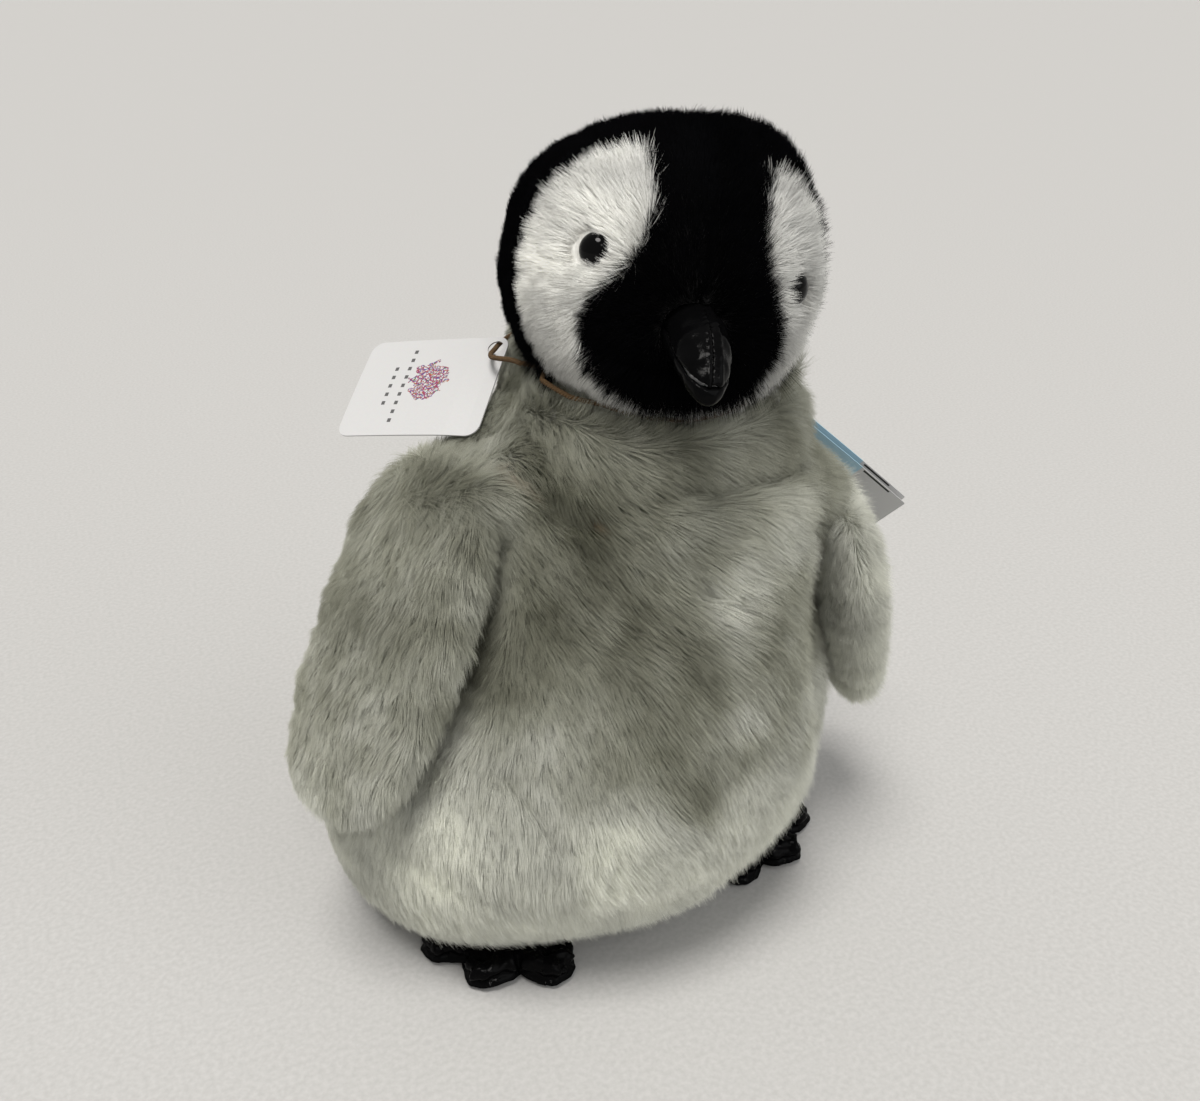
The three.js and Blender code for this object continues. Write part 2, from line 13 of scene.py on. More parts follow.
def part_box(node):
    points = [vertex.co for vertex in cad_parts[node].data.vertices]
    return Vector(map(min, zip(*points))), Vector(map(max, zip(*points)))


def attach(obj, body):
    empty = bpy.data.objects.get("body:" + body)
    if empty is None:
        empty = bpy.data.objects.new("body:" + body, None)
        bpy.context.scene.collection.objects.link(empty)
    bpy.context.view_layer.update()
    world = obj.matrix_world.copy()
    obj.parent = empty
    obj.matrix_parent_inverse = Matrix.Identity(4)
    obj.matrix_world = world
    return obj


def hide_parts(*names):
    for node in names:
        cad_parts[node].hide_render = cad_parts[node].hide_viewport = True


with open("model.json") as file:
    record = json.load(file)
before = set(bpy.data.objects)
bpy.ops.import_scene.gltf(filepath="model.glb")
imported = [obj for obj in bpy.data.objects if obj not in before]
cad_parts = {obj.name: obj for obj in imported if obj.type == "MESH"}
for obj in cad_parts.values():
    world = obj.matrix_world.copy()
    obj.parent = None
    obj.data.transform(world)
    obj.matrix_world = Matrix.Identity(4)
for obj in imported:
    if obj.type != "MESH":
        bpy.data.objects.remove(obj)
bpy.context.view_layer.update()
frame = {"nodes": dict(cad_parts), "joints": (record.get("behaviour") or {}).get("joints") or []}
NODES = frame["nodes"]
JOINTS = {joint["name"]: joint for joint in frame["joints"]}
SIDES = ("left", "right")
MM = 0.001


def centre(*names):
    """The middle of some CAD nodes' boxes."""
    corners = [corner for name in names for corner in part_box(name)]
    return sum(corners, Vector()) / len(corners)


# ---- Places, all from the frame ----
HEAD = Vector(JOINTS["head_turn"]["pos_m"])  # the point the head turns and nods about
HEAD_LEFT = Vector(JOINTS["head_nod"]["axis"]).normalized()
EYE_RISE = math.radians(15.6)  # how far the line to both eyes' middle is above straight ahead
to_eyes = (centre("eye_left") + centre("eye_right")) / 2 - HEAD
HEAD_FRONT = (Matrix.Rotation(EYE_RISE, 3, HEAD_LEFT) @ to_eyes).normalized()
HEAD_UP = HEAD_LEFT.cross(-HEAD_FRONT)
HEAD_RADIUS = (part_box("hood_left_panel")[1].z - HEAD.z) * 1.04
BEAK = centre("beak_upper_left", "beak_upper_right", "beak_lower")
HEAD_ROW, FRONT_ROW, UP_ROW, BEAK_ROW = (np.array(v) for v in (HEAD, HEAD_FRONT, HEAD_UP, BEAK))
BASE_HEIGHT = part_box("body_base_panel")[1].z
BODY_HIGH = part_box("body_front_panel")[1]
BODY_PANELS = ["body_front_panel", "body_back_left_panel", "body_back_right_panel", "body_base_panel"]

# ---- Fur: pile length, strand width and tuft size in mm, how far a tuft pulls its strands together,
# and how steeply they stand ----
FURS = {
    "grey_fur": {"pile": 6.8, "width": 0.09, "tuft": 1.6, "pull": 0.1, "lift": 1.9},
    "white_fur": {"pile": 6.0, "width": 0.09, "tuft": 2.6, "pull": 0.32, "lift": 0.9},
    "black_fur": {"pile": 4.6, "width": 0.1, "tuft": 1.8, "pull": 0.3, "lift": 1.25},
}
STRANDS_EACH_MM2 = 9.0


# ---- Node helpers ----
def put(tree, kind, links=None, **settings):
    """A new node with its settings, and its inputs either linked or given a value."""
    made = tree.nodes.new(kind)
    for key, value in settings.items():
        setattr(made, key, value)
    for key, value in (links or {}).items():
        if isinstance(value, bpy.types.NodeSocket):
            tree.links.new(value, made.inputs[key])
        else:
            made.inputs[key].default_value = value
    return made


def maths(tree, operation, a, b=0.0, c=0.0, clamp=False):
    links = {0: a, 1: b, 2: c}
    return put(tree, "ShaderNodeMath", links, operation=operation, use_clamp=clamp).outputs[0]


def times(tree, a, b):
    return maths(tree, "MULTIPLY", a, b)


def vector(tree, operation, a, b=None, scale=None):
    links = {0: a if isinstance(a, bpy.types.NodeSocket) else tuple(a[:3])}
    if b is not None:
        links[1] = b
    if scale is not None:
        links["Scale"] = scale
    made = put(tree, "ShaderNodeVectorMath", links, operation=operation)
    return made.outputs["Value" if operation in ("DOT_PRODUCT", "LENGTH", "DISTANCE") else "Vector"]


def blend_colour(tree, share, a, b, how="MIX"):
    made = put(tree, "ShaderNodeMix", {0: share, 6: a, 7: b}, data_type="RGBA", blend_type=how)
    return made.outputs[2]


def ramp(tree, value, stops):
    made = put(tree, "ShaderNodeValToRGB", {0: value})
    elements = made.color_ramp.elements
    while len(elements) < len(stops):
        elements.new(0.5)
    for element, (place, colour) in zip(elements, stops):
        element.position = place
        element.color = colour
    return made.outputs[0]


def noise_texture(tree, place, scale, detail=2.0, **more):
    links = {"Vector": place, "Scale": scale, "Detail": detail, **more}
    return put(tree, "ShaderNodeTexNoise", links).outputs


def bumped(tree, height, strength, distance):
    links = {"Height": height, "Strength": strength, "Distance": distance * MM}
    return put(tree, "ShaderNodeBump", links).outputs[0]


def principled(tree, colour, rough, normal=None, **more):
    links = {"Base Color": colour, "Roughness": rough, **more}
    if normal is not None:
        links["Normal"] = normal
    surface(tree, put(tree, "ShaderNodeBsdfPrincipled", links).outputs[0])


def new_material(name):
    material = bpy.data.materials.new(name)
    material.use_nodes = True
    tree = material.node_tree
    tree.nodes.clear()
    return material, tree


def surface(tree, shader):
    put(tree, "ShaderNodeOutputMaterial", {"Surface": shader})


def object_coordinates(tree, scale=(1, 1, 1)):
    coordinates = put(tree, "ShaderNodeTexCoord").outputs["Object"]
    return put(tree, "ShaderNodeMapping", {"Vector": coordinates, "Scale": scale}).outputs[0]


def grey(value):
    return (value, value, value, 1)


def painted(tree, name):
    """A value painted on the skin, which its strands carry too."""
    node = put(tree, "ShaderNodeAttribute", attribute_type="GEOMETRY", attribute_name=name)
    return node.outputs["Fac"]


# ---- Materials ----
WARM_BACKING = (0.3, 0.17, 0.08, 1)


def strand_material(name, root, tip, shine, gloss, olive=0.0):
    """Hair strands: darker at the root, each strand a little different, with a soft lengthwise gloss.
    olive is how far the dark patches lean from grey to olive."""
    material, tree = new_material(name)
    hair = put(tree, "ShaderNodeHairInfo").outputs
    along = ramp(tree, hair["Intercept"], [(0.0, root), (0.4, tip)])
    vary = maths(tree, "MULTIPLY_ADD", hair["Random"], 0.28, 0.86)
    patches = noise_texture(tree, object_coordinates(tree), 38.0, 3.0)
    broad = maths(tree, "MULTIPLY_ADD", patches[0], 0.5, 0.75)
    tone = times(tree, times(tree, vary, broad), painted(tree, "tone"))
    blue = maths(tree, "MULTIPLY_ADD", painted(tree, "tone"), olive, 1 - olive, clamp=True)
    tint = put(tree, "ShaderNodeCombineXYZ", {0: 1.0, 1: 1.0, 2: blue}).outputs[0]
    colour = vector(tree, "MULTIPLY", vector(tree, "SCALE", along, scale=tone), tint)
    colour = blend_colour(tree, painted(tree, "warm"), colour, WARM_BACKING)
    body = put(tree, "ShaderNodeBsdfDiffuse", {"Color": colour})
    shine = vector(tree, "SCALE", shine, scale=tone)
    lustre = put(tree, "ShaderNodeBsdfHair", {"Color": shine, "RoughnessU": 0.35, "RoughnessV": 0.6})
    lustre.component = "Reflection"
    mixed = put(tree, "ShaderNodeMixShader", {0: gloss, 1: body.outputs[0], 2: lustre.outputs[0]})
    surface(tree, mixed.outputs[0])
    return material


def skin_material(name, dark, light, scale):
    """The cloth under the strands, streaked the way the pile lies so that it reads as fur by itself."""
    material, tree = new_material(name)
    finer = tuple(3.5 * s for s in scale)
    streaks = noise_texture(tree, object_coordinates(tree, scale), 1.0, 4.0, Roughness=0.65)[0]
    fibres = noise_texture(tree, object_coordinates(tree, finer), 1.0)[0]
    colour = ramp(tree, streaks, [(0.36, dark), (0.62, light)])
    colour = blend_colour(tree, 0.35, colour, ramp(tree, fibres, [(0.3, dark), (0.7, light)]))
    colour = vector(tree, "SCALE", colour, scale=painted(tree, "tone"))
    normal = bumped(tree, maths(tree, "ADD", streaks, fibres), 0.6, 0.6)
    principled(tree, colour, 0.95, normal, **{"Sheen Weight": 0.3})
    return material


def leather_material(name, colour, rough):
    """Leather-look sheet: fine pebbled grain with creases, and gloss that wanders."""
    material, tree = new_material(name)
    place = object_coordinates(tree)
    pebbles = {"Vector": place, "Scale": 1500.0}
    grain = put(tree, "ShaderNodeTexVoronoi", pebbles, feature="DISTANCE_TO_EDGE").outputs[0]
    creases = noise_texture(tree, place, 260.0, 6.0, Roughness=0.6)[0]
    height = maths(tree, "MULTIPLY_ADD", grain, 0.7, creases)
    gloss = maths(tree, "MULTIPLY_ADD", noise_texture(tree, place, 90.0)[0], 0.1, rough)
    worn = tuple(2.4 * c for c in colour[:3]) + (1,)
    tone = blend_colour(tree, creases, colour, worn)
    principled(tree, tone, gloss, bumped(tree, height, 0.22, 0.25), IOR=1.12)
    return material


def moulded_material(name, colour, rough, shine=0.5, through=0.0):
    """Moulded plastic or thread: a faint waviness and slightly uneven gloss."""
    material, tree = new_material(name)
    wave = noise_texture(tree, object_coordinates(tree), 420.0, 3.0)[0]
    gloss = maths(tree, "MULTIPLY_ADD", wave, 0.06, rough)
    tone = blend_colour(tree, wave, colour, tuple(0.8 * c for c in colour[:3]) + (1,))
    more = {"Specular IOR Level": shine, "Transmission Weight": through}
    principled(tree, tone, gloss, bumped(tree, wave, 0.08, 0.1), **more)
    return material


def weave_material(name, dark, light, pitch, rough=0.9):
    """Plain woven or matted fibre, at a given thread pitch."""
    material, tree = new_material(name)
    place = object_coordinates(tree, (1 / pitch,) * 3)
    links = {"Vector": place, "Scale": 1.0, "Distortion": 2.0}
    over, under = (put(tree, "ShaderNodeTexWave", links, bands_direction=way) for way in "XZ")
    threads = times(tree, over.outputs["Fac"], under.outputs["Fac"])
    colour = ramp(tree, threads, [(0.1, dark), (0.7, light)])
    principled(tree, colour, rough, bumped(tree, threads, 0.5, 0.3))
    return material


GREY_DARK, GREY_LIGHT = (0.2, 0.204, 0.16, 1), (0.5, 0.505, 0.45, 1)
WHITE_DARK, WHITE_LIGHT = (0.62, 0.61, 0.57, 1), (0.9, 0.9, 0.86, 1)
BLACK_DARK, BLACK_LIGHT = (0.0004, 0.0004, 0.0005, 1), (0.0014, 0.0014, 0.0017, 1)
GREY_SHINE, WHITE_SHINE, BLACK_SHINE = (0.85, 0.86, 0.78, 1), grey(0.9), (0.016, 0.016, 0.018, 1)

STRANDS = {
    "grey_fur": strand_material("grey_strands", GREY_DARK, GREY_LIGHT, GREY_SHINE, 0.2, 0.3),
    "white_fur": strand_material("white_strands", WHITE_DARK, WHITE_LIGHT, WHITE_SHINE, 0.15),
    "black_fur": strand_material("black_strands", BLACK_DARK, BLACK_LIGHT, BLACK_SHINE, 0.08),
}
SKINS = {
    "grey_fur": skin_material("grey_pile", GREY_DARK, GREY_LIGHT, (420, 420, 70)),
    "white_fur": skin_material("white_pile", WHITE_DARK, WHITE_LIGHT, (450, 450, 120)),
    "black_fur": skin_material("black_pile", BLACK_DARK, BLACK_LIGHT, (600, 600, 260)),
}


# ---- Mesh helpers ----
def points_of(mesh):
    flat = np.empty(len(mesh.vertices) * 3, np.float32)
    mesh.vertices.foreach_get("co", flat)
    return flat.reshape(-1, 3).astype(float)


def normals_of(mesh):
    flat = np.empty(len(mesh.vertices) * 3, np.float32)
    mesh.vertex_normals.foreach_get("vector", flat)
    return flat.reshape(-1, 3).astype(float)


def raised(obj, lift):
    """Moves a skin out along its normals, by a length for each point or for all of them."""
    points = points_of(obj.data)
    set_points(obj.data, points + normals_of(obj.data) * np.reshape(lift, (-1, 1)))


def set_points(mesh, points):
    mesh.vertices.foreach_set("co", np.ascontiguousarray(points, np.float32).ravel())
    mesh.update()


def new_object(name, mesh):
    made = bpy.data.objects.new(name, mesh)
    bpy.context.scene.collection.objects.link(made)
    return made


def joined(name, nodes, more=()):
    """One new object holding copies of some CAD nodes, and any more meshes."""
    points, faces, start = [], [], 0
    for mesh in [NODES[node].data for node in nodes] + list(more):
        points.append(points_of(mesh))
        faces += [[start + i for i in polygon.vertices] for polygon in mesh.polygons]
        start += len(mesh.vertices)
    mesh = bpy.data.meshes.new(name)
    mesh.from_pydata(np.vstack(points).tolist(), [], faces)
    mesh.update()
    return new_object(name, mesh)


def bake(obj):
    """Applies every modifier."""
    bpy.context.view_layer.update()
    evaluated = obj.evaluated_get(bpy.context.evaluated_depsgraph_get())
    mesh = bpy.data.meshes.new_from_object(evaluated)
    obj.modifiers.clear()
    obj.data = mesh


def modify(obj, kind, **settings):
    modifier = obj.modifiers.new(kind.lower(), kind)
    for key, value in settings.items():
        setattr(modifier, key, value)
    return modifier


def keep_largest(obj):
    """Drops every loose part but the biggest, such as the walls of a closed hollow."""
    mesh = obj.data
    label = np.arange(len(mesh.vertices))
    edges = np.empty(len(mesh.edges) * 2, np.int32)
    mesh.edges.foreach_get("vertices", edges)
    a, b = edges.reshape(-1, 2).T
    while True:
        low = np.minimum(label[a], label[b])
        before = label.copy()
        np.minimum.at(label, a, low)
        np.minimum.at(label, b, low)
        label = label[label]
        if np.array_equal(label, before):
            break
    values, counts = np.unique(label, return_counts=True)
    keep = label == values[counts.argmax()]
    index = np.cumsum(keep) - 1
    points = points_of(mesh)[keep]
    faces = [[int(index[i]) for i in p.vertices] for p in mesh.polygons if keep[p.vertices[0]]]
    cleaned = bpy.data.meshes.new(mesh.name)
    cleaned.from_pydata(points.tolist(), [], faces)
    cleaned.update()
    obj.data = cleaned


def remeshed(name, nodes, voxel, smooth, more=()):
    """One even, closed skin round some CAD nodes."""
    obj = joined(name, nodes, more)
    modify(obj, "REMESH", mode="VOXEL", voxel_size=voxel, use_smooth_shade=True)
    bake(obj)
    keep_largest(obj)
    modify(obj, "SMOOTH", factor=0.5, iterations=smooth)
    bake(obj)
    return obj


def shade_smooth(obj):
    obj.data.polygons.foreach_set("use_smooth", [True] * len(obj.data.polygons))
    obj.data.update()


CLOTH_STEPS = 20


def puffed(obj, shrink, cap, held):
    """Fills a skin like a cushion: cloth pressure from a smaller shape, with its travel capped."""
    rest = points_of(obj.data)
    raised(obj, -shrink)
    group = obj.vertex_groups.new(name="held")
    group.add([int(i) for i in np.nonzero(held(rest))[0]], 1.0, "REPLACE")
    cloth = modify(obj, "CLOTH").settings
    cloth.quality = 5
    cloth.mass = 0.3
    cloth.tension_stiffness = cloth.compression_stiffness = 12
    cloth.bending_stiffness = 0.6
    cloth.use_pressure = True
    cloth.uniform_pressure_force = 4
    cloth.vertex_group_mass = "held"
    cloth.effector_weights.gravity = 0
    scene = bpy.context.scene
    for step in range(1, CLOTH_STEPS + 1):
        scene.frame_set(step)
    bake(obj)
    scene.frame_set(1)
    moved = points_of(obj.data) - rest
    length = np.linalg.norm(moved, axis=1, keepdims=True)
    moved *= np.minimum(1, cap / np.maximum(length, 1e-9))
    set_points(obj.data, rest + moved)


def subdivided(obj, levels):
    modify(obj, "SUBSURF", levels=levels, render_levels=levels)
    bake(obj)
    shade_smooth(obj)


def ripple(points, size, seed=0.0):
    """Smooth noise between about -1 and 1 at each point; size is one length or three."""
    scaled = points / np.asarray(size) + seed
    return np.array([noise.noise(Vector(p)) for p in scaled])


def unit_rows(vectors):
    return vectors / np.maximum(np.linalg.norm(vectors, axis=1, keepdims=True), 1e-6)


def swirl(points, size, seeds):
    """A smooth random direction at each point."""
    return np.stack([ripple(points, size, seed) for seed in seeds], 1)


def near(points, place, reach):
    """1 at a place, falling smoothly to 0 by a distance."""
    away = np.linalg.norm(points - np.array(place), axis=1) / reach
    return np.exp(-2.2 * away * away)


def near_line(points, line, reach):
    """1 on a broken line of places, falling smoothly to 0 by a distance."""
    best = np.full(len(points), 1e9)
    for a, b in zip(line, line[1:]):
        a, b = np.array(a), np.array(b)
        share = np.clip((points - a) @ (b - a) / ((b - a) @ (b - a)), 0, 1)
        best = np.minimum(best, np.linalg.norm(points - a - share[:, None] * (b - a), axis=1))
    return np.exp(-2.2 * (best / reach) ** 2)


# ---- Fur ----
def stored(tree, name, kind="FLOAT_VECTOR"):
    node = put(tree, "GeometryNodeInputNamedAttribute", {"Name": name}, data_type=kind)
    return node.outputs["Attribute"]


def store(tree, geometry, name, value):
    links = {"Geometry": geometry, "Name": name, "Value": value}
    return put(tree, "GeometryNodeStoreNamedAttribute", links, data_type="FLOAT_VECTOR").outputs[0]


def scaled(tree, value, share):
    return vector(tree, "SCALE", value, scale=share)


def jitter(tree, noise_colour, share):
    return scaled(tree, vector(tree, "SUBTRACT", noise_colour, (0.5, 0.5, 0.5)), share)


def planted_strands(tree, given):
    """Short straight strands on points strewn over the skin; each keeps its root and the normal there."""
    skin = put(tree, "GeometryNodeObjectInfo", {"Object": given["Skin"]}, transform_space="RELATIVE")
    links = {"Mesh": skin.outputs["Geometry"]}
    links["Density"] = times(tree, given["Density"], stored(tree, "grow", "FLOAT"))
    strewn = put(tree, "GeometryNodeDistributePointsOnFaces", links).outputs
    place = put(tree, "GeometryNodeInputPosition").outputs[0]
    points = store(tree, strewn["Points"], "root", place)
    points = store(tree, points, "out", strewn["Normal"])
    line = put(tree, "GeometryNodeCurvePrimitiveLine", {"End": (0, 0, 0.001)}).outputs[0]
    strand = put(tree, "GeometryNodeResampleCurve", {"Curve": line, "Count": 6}).outputs[0]
    links = {"Points": points, "Instance": strand}
    copies = put(tree, "GeometryNodeInstanceOnPoints", links).outputs[0]
    return put(tree, "GeometryNodeRealizeInstances", {"Geometry": copies}).outputs[0]


def combed_places(tree, given, along, squared):
    """Where each point of a strand goes: it rises, lies over the way it is combed, strays, sways,
    and is pulled towards the middle of its tuft."""
    root, out, comb = stored(tree, "root"), stored(tree, "out"), stored(tree, "comb")
    chance = put(tree, "ShaderNodeTexWhiteNoise", {"Vector": root}, noise_dimensions="3D").outputs
    links = {"Vector": vector(tree, "DIVIDE", root, given["Tuft"]), "Scale": 1.0}
    cell = put(tree, "ShaderNodeTexVoronoi", links).outputs["Position"]
    tuft = vector(tree, "SUBTRACT", vector(tree, "MULTIPLY", cell, given["Tuft"]), root)
    depth = vector(tree, "DOT_PRODUCT", tuft, out)
    tuft = vector(tree, "SUBTRACT", tuft, scaled(tree, out, depth))
    pull = scaled(tree, tuft, times(tree, squared, given["Pull"]))
    varied = maths(tree, "MULTIPLY_ADD", chance["Value"], 0.5, 0.72)
    length = times(tree, times(tree, given["Pile"], stored(tree, "pile", "FLOAT")), varied)
    rise = maths(tree, "SUBTRACT", times(tree, along, 0.72), times(tree, squared, 0.3))
    lay = maths(tree, "ADD", times(tree, along, 0.35), times(tree, squared, 0.55))
    wind = noise_texture(tree, root, 230.0, 3.0)["Color"]
    shape = scaled(tree, out, times(tree, rise, given["Lift"]))
    shape = vector(tree, "ADD", shape, scaled(tree, comb, lay))
    stray = jitter(tree, chance["Color"], times(tree, along, 0.4))
    sway = jitter(tree, wind, times(tree, squared, 0.62))
    shape = vector(tree, "ADD", shape, vector(tree, "ADD", stray, sway))
    return vector(tree, "ADD", root, vector(tree, "ADD", pull, scaled(tree, shape, length)))


def fur_tree():
    """Geometry nodes that grow tufted strands on another object, from its comb, pile and grow."""
    tree = bpy.data.node_groups.new("fur", "GeometryNodeTree")
    sockets = {"Skin": "Object", "Material": "Material"}
    sockets.update(dict.fromkeys(("Density", "Pile", "Width", "Tuft", "Pull", "Lift"), "Float"))
    for name, kind in sockets.items():
        tree.interface.new_socket(name, in_out="INPUT", socket_type="NodeSocket" + kind)
    tree.interface.new_socket("Geometry", in_out="OUTPUT", socket_type="NodeSocketGeometry")
    given = put(tree, "NodeGroupInput").outputs
    along = put(tree, "GeometryNodeSplineParameter").outputs["Factor"]
    squared = times(tree, along, along)
    links = {"Geometry": planted_strands(tree, given)}
    links["Position"] = combed_places(tree, given, along, squared)
    curves = put(tree, "GeometryNodeSetPosition", links).outputs[0]
    taper = maths(tree, "SUBTRACT", 1.0, times(tree, squared, 0.8))
    links = {"Curve": curves, "Radius": times(tree, times(tree, given["Width"], 0.5), taper)}
    curves = put(tree, "GeometryNodeSetCurveRadius", links).outputs[0]
    links = {"Geometry": curves, "Material": given["Material"]}
    put(tree, "NodeGroupOutput", {0: put(tree, "GeometryNodeSetMaterial", links).outputs[0]})
    return tree


FUR_TREE = fur_tree()


def write_attribute(mesh, name, values):
    kind = "FLOAT_VECTOR" if values.ndim == 2 else "FLOAT"
    attribute = mesh.attributes.new(name, kind, "POINT")
    field = "vector" if values.ndim == 2 else "value"
    attribute.data.foreach_set(field, np.ascontiguousarray(values, np.float32).ravel())


def grow_fur(obj, fur, comb, grow, pile, tone, warm=None):
    """Gives a skin its pile. For each point, comb is the way it lies, grow is how thickly it grows,
    pile is its share of the full length, tone is how light it is, and warm is how brown."""
    mesh = obj.data
    out = normals_of(mesh)
    comb = comb - (comb * out).sum(1, keepdims=True) * out
    write_attribute(mesh, "comb", unit_rows(comb))
    write_attribute(mesh, "grow", grow.astype(float))
    write_attribute(mesh, "pile", pile)
    write_attribute(mesh, "tone", np.clip(tone, 0.15, 1.6))
    write_attribute(mesh, "warm", np.zeros(len(out)) if warm is None else warm)
    mesh.materials.clear()
    mesh.materials.append(SKINS[fur])
    spec = FURS[fur]
    share = 1.0
    values = {
        "Skin": obj,
        "Density": STRANDS_EACH_MM2 / MM**2 * share,
        "Pile": spec["pile"] * MM,
        "Width": spec["width"] * MM / share**0.7,
        "Tuft": spec["tuft"] * MM,
        "Pull": spec["pull"],
        "Lift": spec["lift"],
        "Material": STRANDS[fur],
    }
    name = obj.name + "_strands"
    strands = bpy.data.objects.new(name, bpy.data.hair_curves.new(name))
    bpy.context.scene.collection.objects.link(strands)
    strands.parent = obj
    modifier = strands.modifiers.new("fur", "NODES")
    modifier.node_group = FUR_TREE
    for item in FUR_TREE.interface.items_tree:
        if item.in_out == "INPUT" and item.name in values:
            modifier[item.identifier] = values[item.name]


def tufted(obj, size, height, seed=0.0):
    """Sculpts the pile's locks into a skin, longer along the way the pile lies."""
    points = points_of(obj.data)
    finer = ripple(points, np.asarray(size) / 2.3, seed + 7)
    lift = height * (ripple(points, size, seed) + 0.5 * finer)
    raised(obj, lift)


# ---- Body ----
NECK_HOLLOW = 1.075 * HEAD_RADIUS  # the hollow that the head sits in
FRONT_LINES = {
    # Broken lines on the body: (degrees round from straight ahead, share of the body's height)
    "chin_fold": [(-8, 0.835), (7, 0.827), (22, 0.82), (47, 0.80)],
    "under_chin_fold": [(-4, 0.79), (10, 0.785), (26, 0.78), (40, 0.765)],
    "second_fold": [(-3, 0.72), (12, 0.735), (29, 0.74), (45, 0.72)],
    "third_fold": [(4, 0.695), (18, 0.70), (34, 0.69)],
    "left_chin_fold": [(-66, 0.865), (-50, 0.835), (-36, 0.80), (-24, 0.765)],
    "middle_seam": [(-27, 0.803), (-17, 0.775), (-9, 0.745), (3, 0.70), (13, 0.675)],
    "beside_left_flipper": [(53, 0.72), (47, 0.64), (42, 0.55), (39, 0.45)],
    "beside_right_flipper": [(-60, 0.75), (-56, 0.68), (-58, 0.57), (-62, 0.46)],
    "low_crease": [(-46, 0.45), (-39, 0.40), (-32.5, 0.34)],
    "low_ridge": [(-60, 0.33), (-40, 0.27), (-18, 0.25), (10, 0.27)],
    "left_flipper_bed": [(60, 0.64), (57, 0.58), (54, 0.50), (54, 0.40)],
    "left_neck": [(38, 0.93), (60, 0.92), (82, 0.90)],
    "left_side": [(60, 0.64), (66, 0.47), (60, 0.34), (62, 0.24)],
    "left_low_side": [(62, 0.28), (54, 0.22), (43, 0.16), (30, 0.11)],
    "nape": [(-136, 0.93), (-152, 0.94), (-172, 0.94)],
}
# Line, depth in mm (hollow is negative), half width in mm
FOLDS = [
    ("chin_fold", -7.5, 6.5),
    ("under_chin_fold", 3.0, 8.0),
    ("second_fold", 3.2, 7.0),
    ("third_fold", -1.4, 5.0),
    ("left_chin_fold", -2.6, 6.0),
    ("middle_seam", -1.6, 3.5),
    ("beside_left_flipper", -5.0, 8.0),
    ("beside_right_flipper", -3.0, 8.0),
    ("low_crease", -2.6, 3.2),
    ("low_ridge", 1.6, 14.0),
    ("left_flipper_bed", -18.0, 24.0),
    ("left_neck", -4.0, 12.0),
    ("left_side", -4.5, 28.0),
    ("left_low_side", -5.5, 17.0),
    ("nape", 12.0, 15.0),
]
# Line, half width in mm, change of tone
SHADED = [("low_crease", 3.5, -0.4), ("chin_fold", 6.0, -0.42), ("third_fold", 4.0, -0.1)]
# Painted shade and sheen: patches where the pile looks darker or lighter from fold shadows, the flipper's
# shadow and the pile's sheen: (degrees, share of height, reach in mm, change of tone)
SHADE_AND_SHEEN_PATCHES = [
    (-46, 0.84, 24, -0.34),
    (-39, 0.81, 24, -0.30),
    (-25, 0.85, 22, -0.26),
    (-8, 0.80, 20, -0.28),
    (-32, 0.68, 40, -0.16),
    (-8, 0.64, 30, -0.13),
    (-14, 0.52, 26, -0.16),
    (-58, 0.62, 26, -0.40),
    (-3, 0.39, 18, -0.60),
    (8, 0.46, 12, -0.16),
    (30, 0.39, 15, -0.14),
    (-66, 0.86, 12, 0.24),
    (-40, 0.515, 14, 0.28),
    (-50, 0.45, 16, 0.16),
    (12, 0.51, 13, 0.30),
    (11, 0.695, 16, 0.70),
    (30, 0.745, 17, 0.46),
    (46, 0.66, 15, 0.20),
    (40, 0.54, 12, 0.10),
    (-24, 0.36, 20, 0.30),
    (-10, 0.27, 38, 0.24),
    (-60, 0.30, 40, 0.38),
    (30, 0.27, 30, 0.16),
    (-60, 0.38, 20, -0.06),
    (150, 0.62, 36, -0.10),
    (-160, 0.45, 30, 0.12),
    (110, 0.50, 26, -0.08),
    (-150, 0.93, 24, 0.30),
]


def body_places(points, places):
    """Turns (degrees, share of height) into places on the body's skin."""
    outer = points[~in_hollow(points)]
    turn = np.degrees(np.arctan2(outer[:, 0], -outer[:, 1]))
    found = []
    for degrees, share in places:
        off = (turn - degrees + 180) % 360 - 180
        miss = (off * 1.5 * MM) ** 2 + (outer[:, 2] - share * BODY_HIGH.z) ** 2
        found.append(outer[miss.argmin()])
    return found


def in_hollow(points):
    """True where the skin lines the hollow under the head."""
    return np.linalg.norm(points - HEAD_ROW, axis=1) < NECK_HOLLOW


def shoulder(side):
    """A hull round the top of a flipper, so that the body's skin swells to meet it."""
    root = np.array(JOINTS[f"flipper_{side}_raise"]["pos_m"])
    panels = [points_of(NODES[f"flipper_{side}_{layer}_panel"].data) for layer in ("outer", "inner")]
    points = np.vstack(panels)
    near_root = points[np.linalg.norm(points - root, axis=1) < SHOULDER]
    inward = near_root + (np.array(centre("body_stuffing")) - root) * 0.25
    neckward = near_root + (HEAD_ROW - root) * (0.42, 0.42, 0.3) * SLOPE[side]
    higher = near_root + (0, 0, RISE[side])
    hull = bmesh.new()
    for point in np.vstack([near_root, inward, neckward, higher]):
        hull.verts.new(point)
    bmesh.ops.convex_hull(hull, input=hull.verts)
    mesh = bpy.data.meshes.new("shoulder")
    hull.to_mesh(mesh)
    hull.free()
    return mesh


def turn_of(place):
    """Degrees round from straight ahead, positive to the bird's left."""
    return math.degrees(math.atan2(place[0], -place[1]))


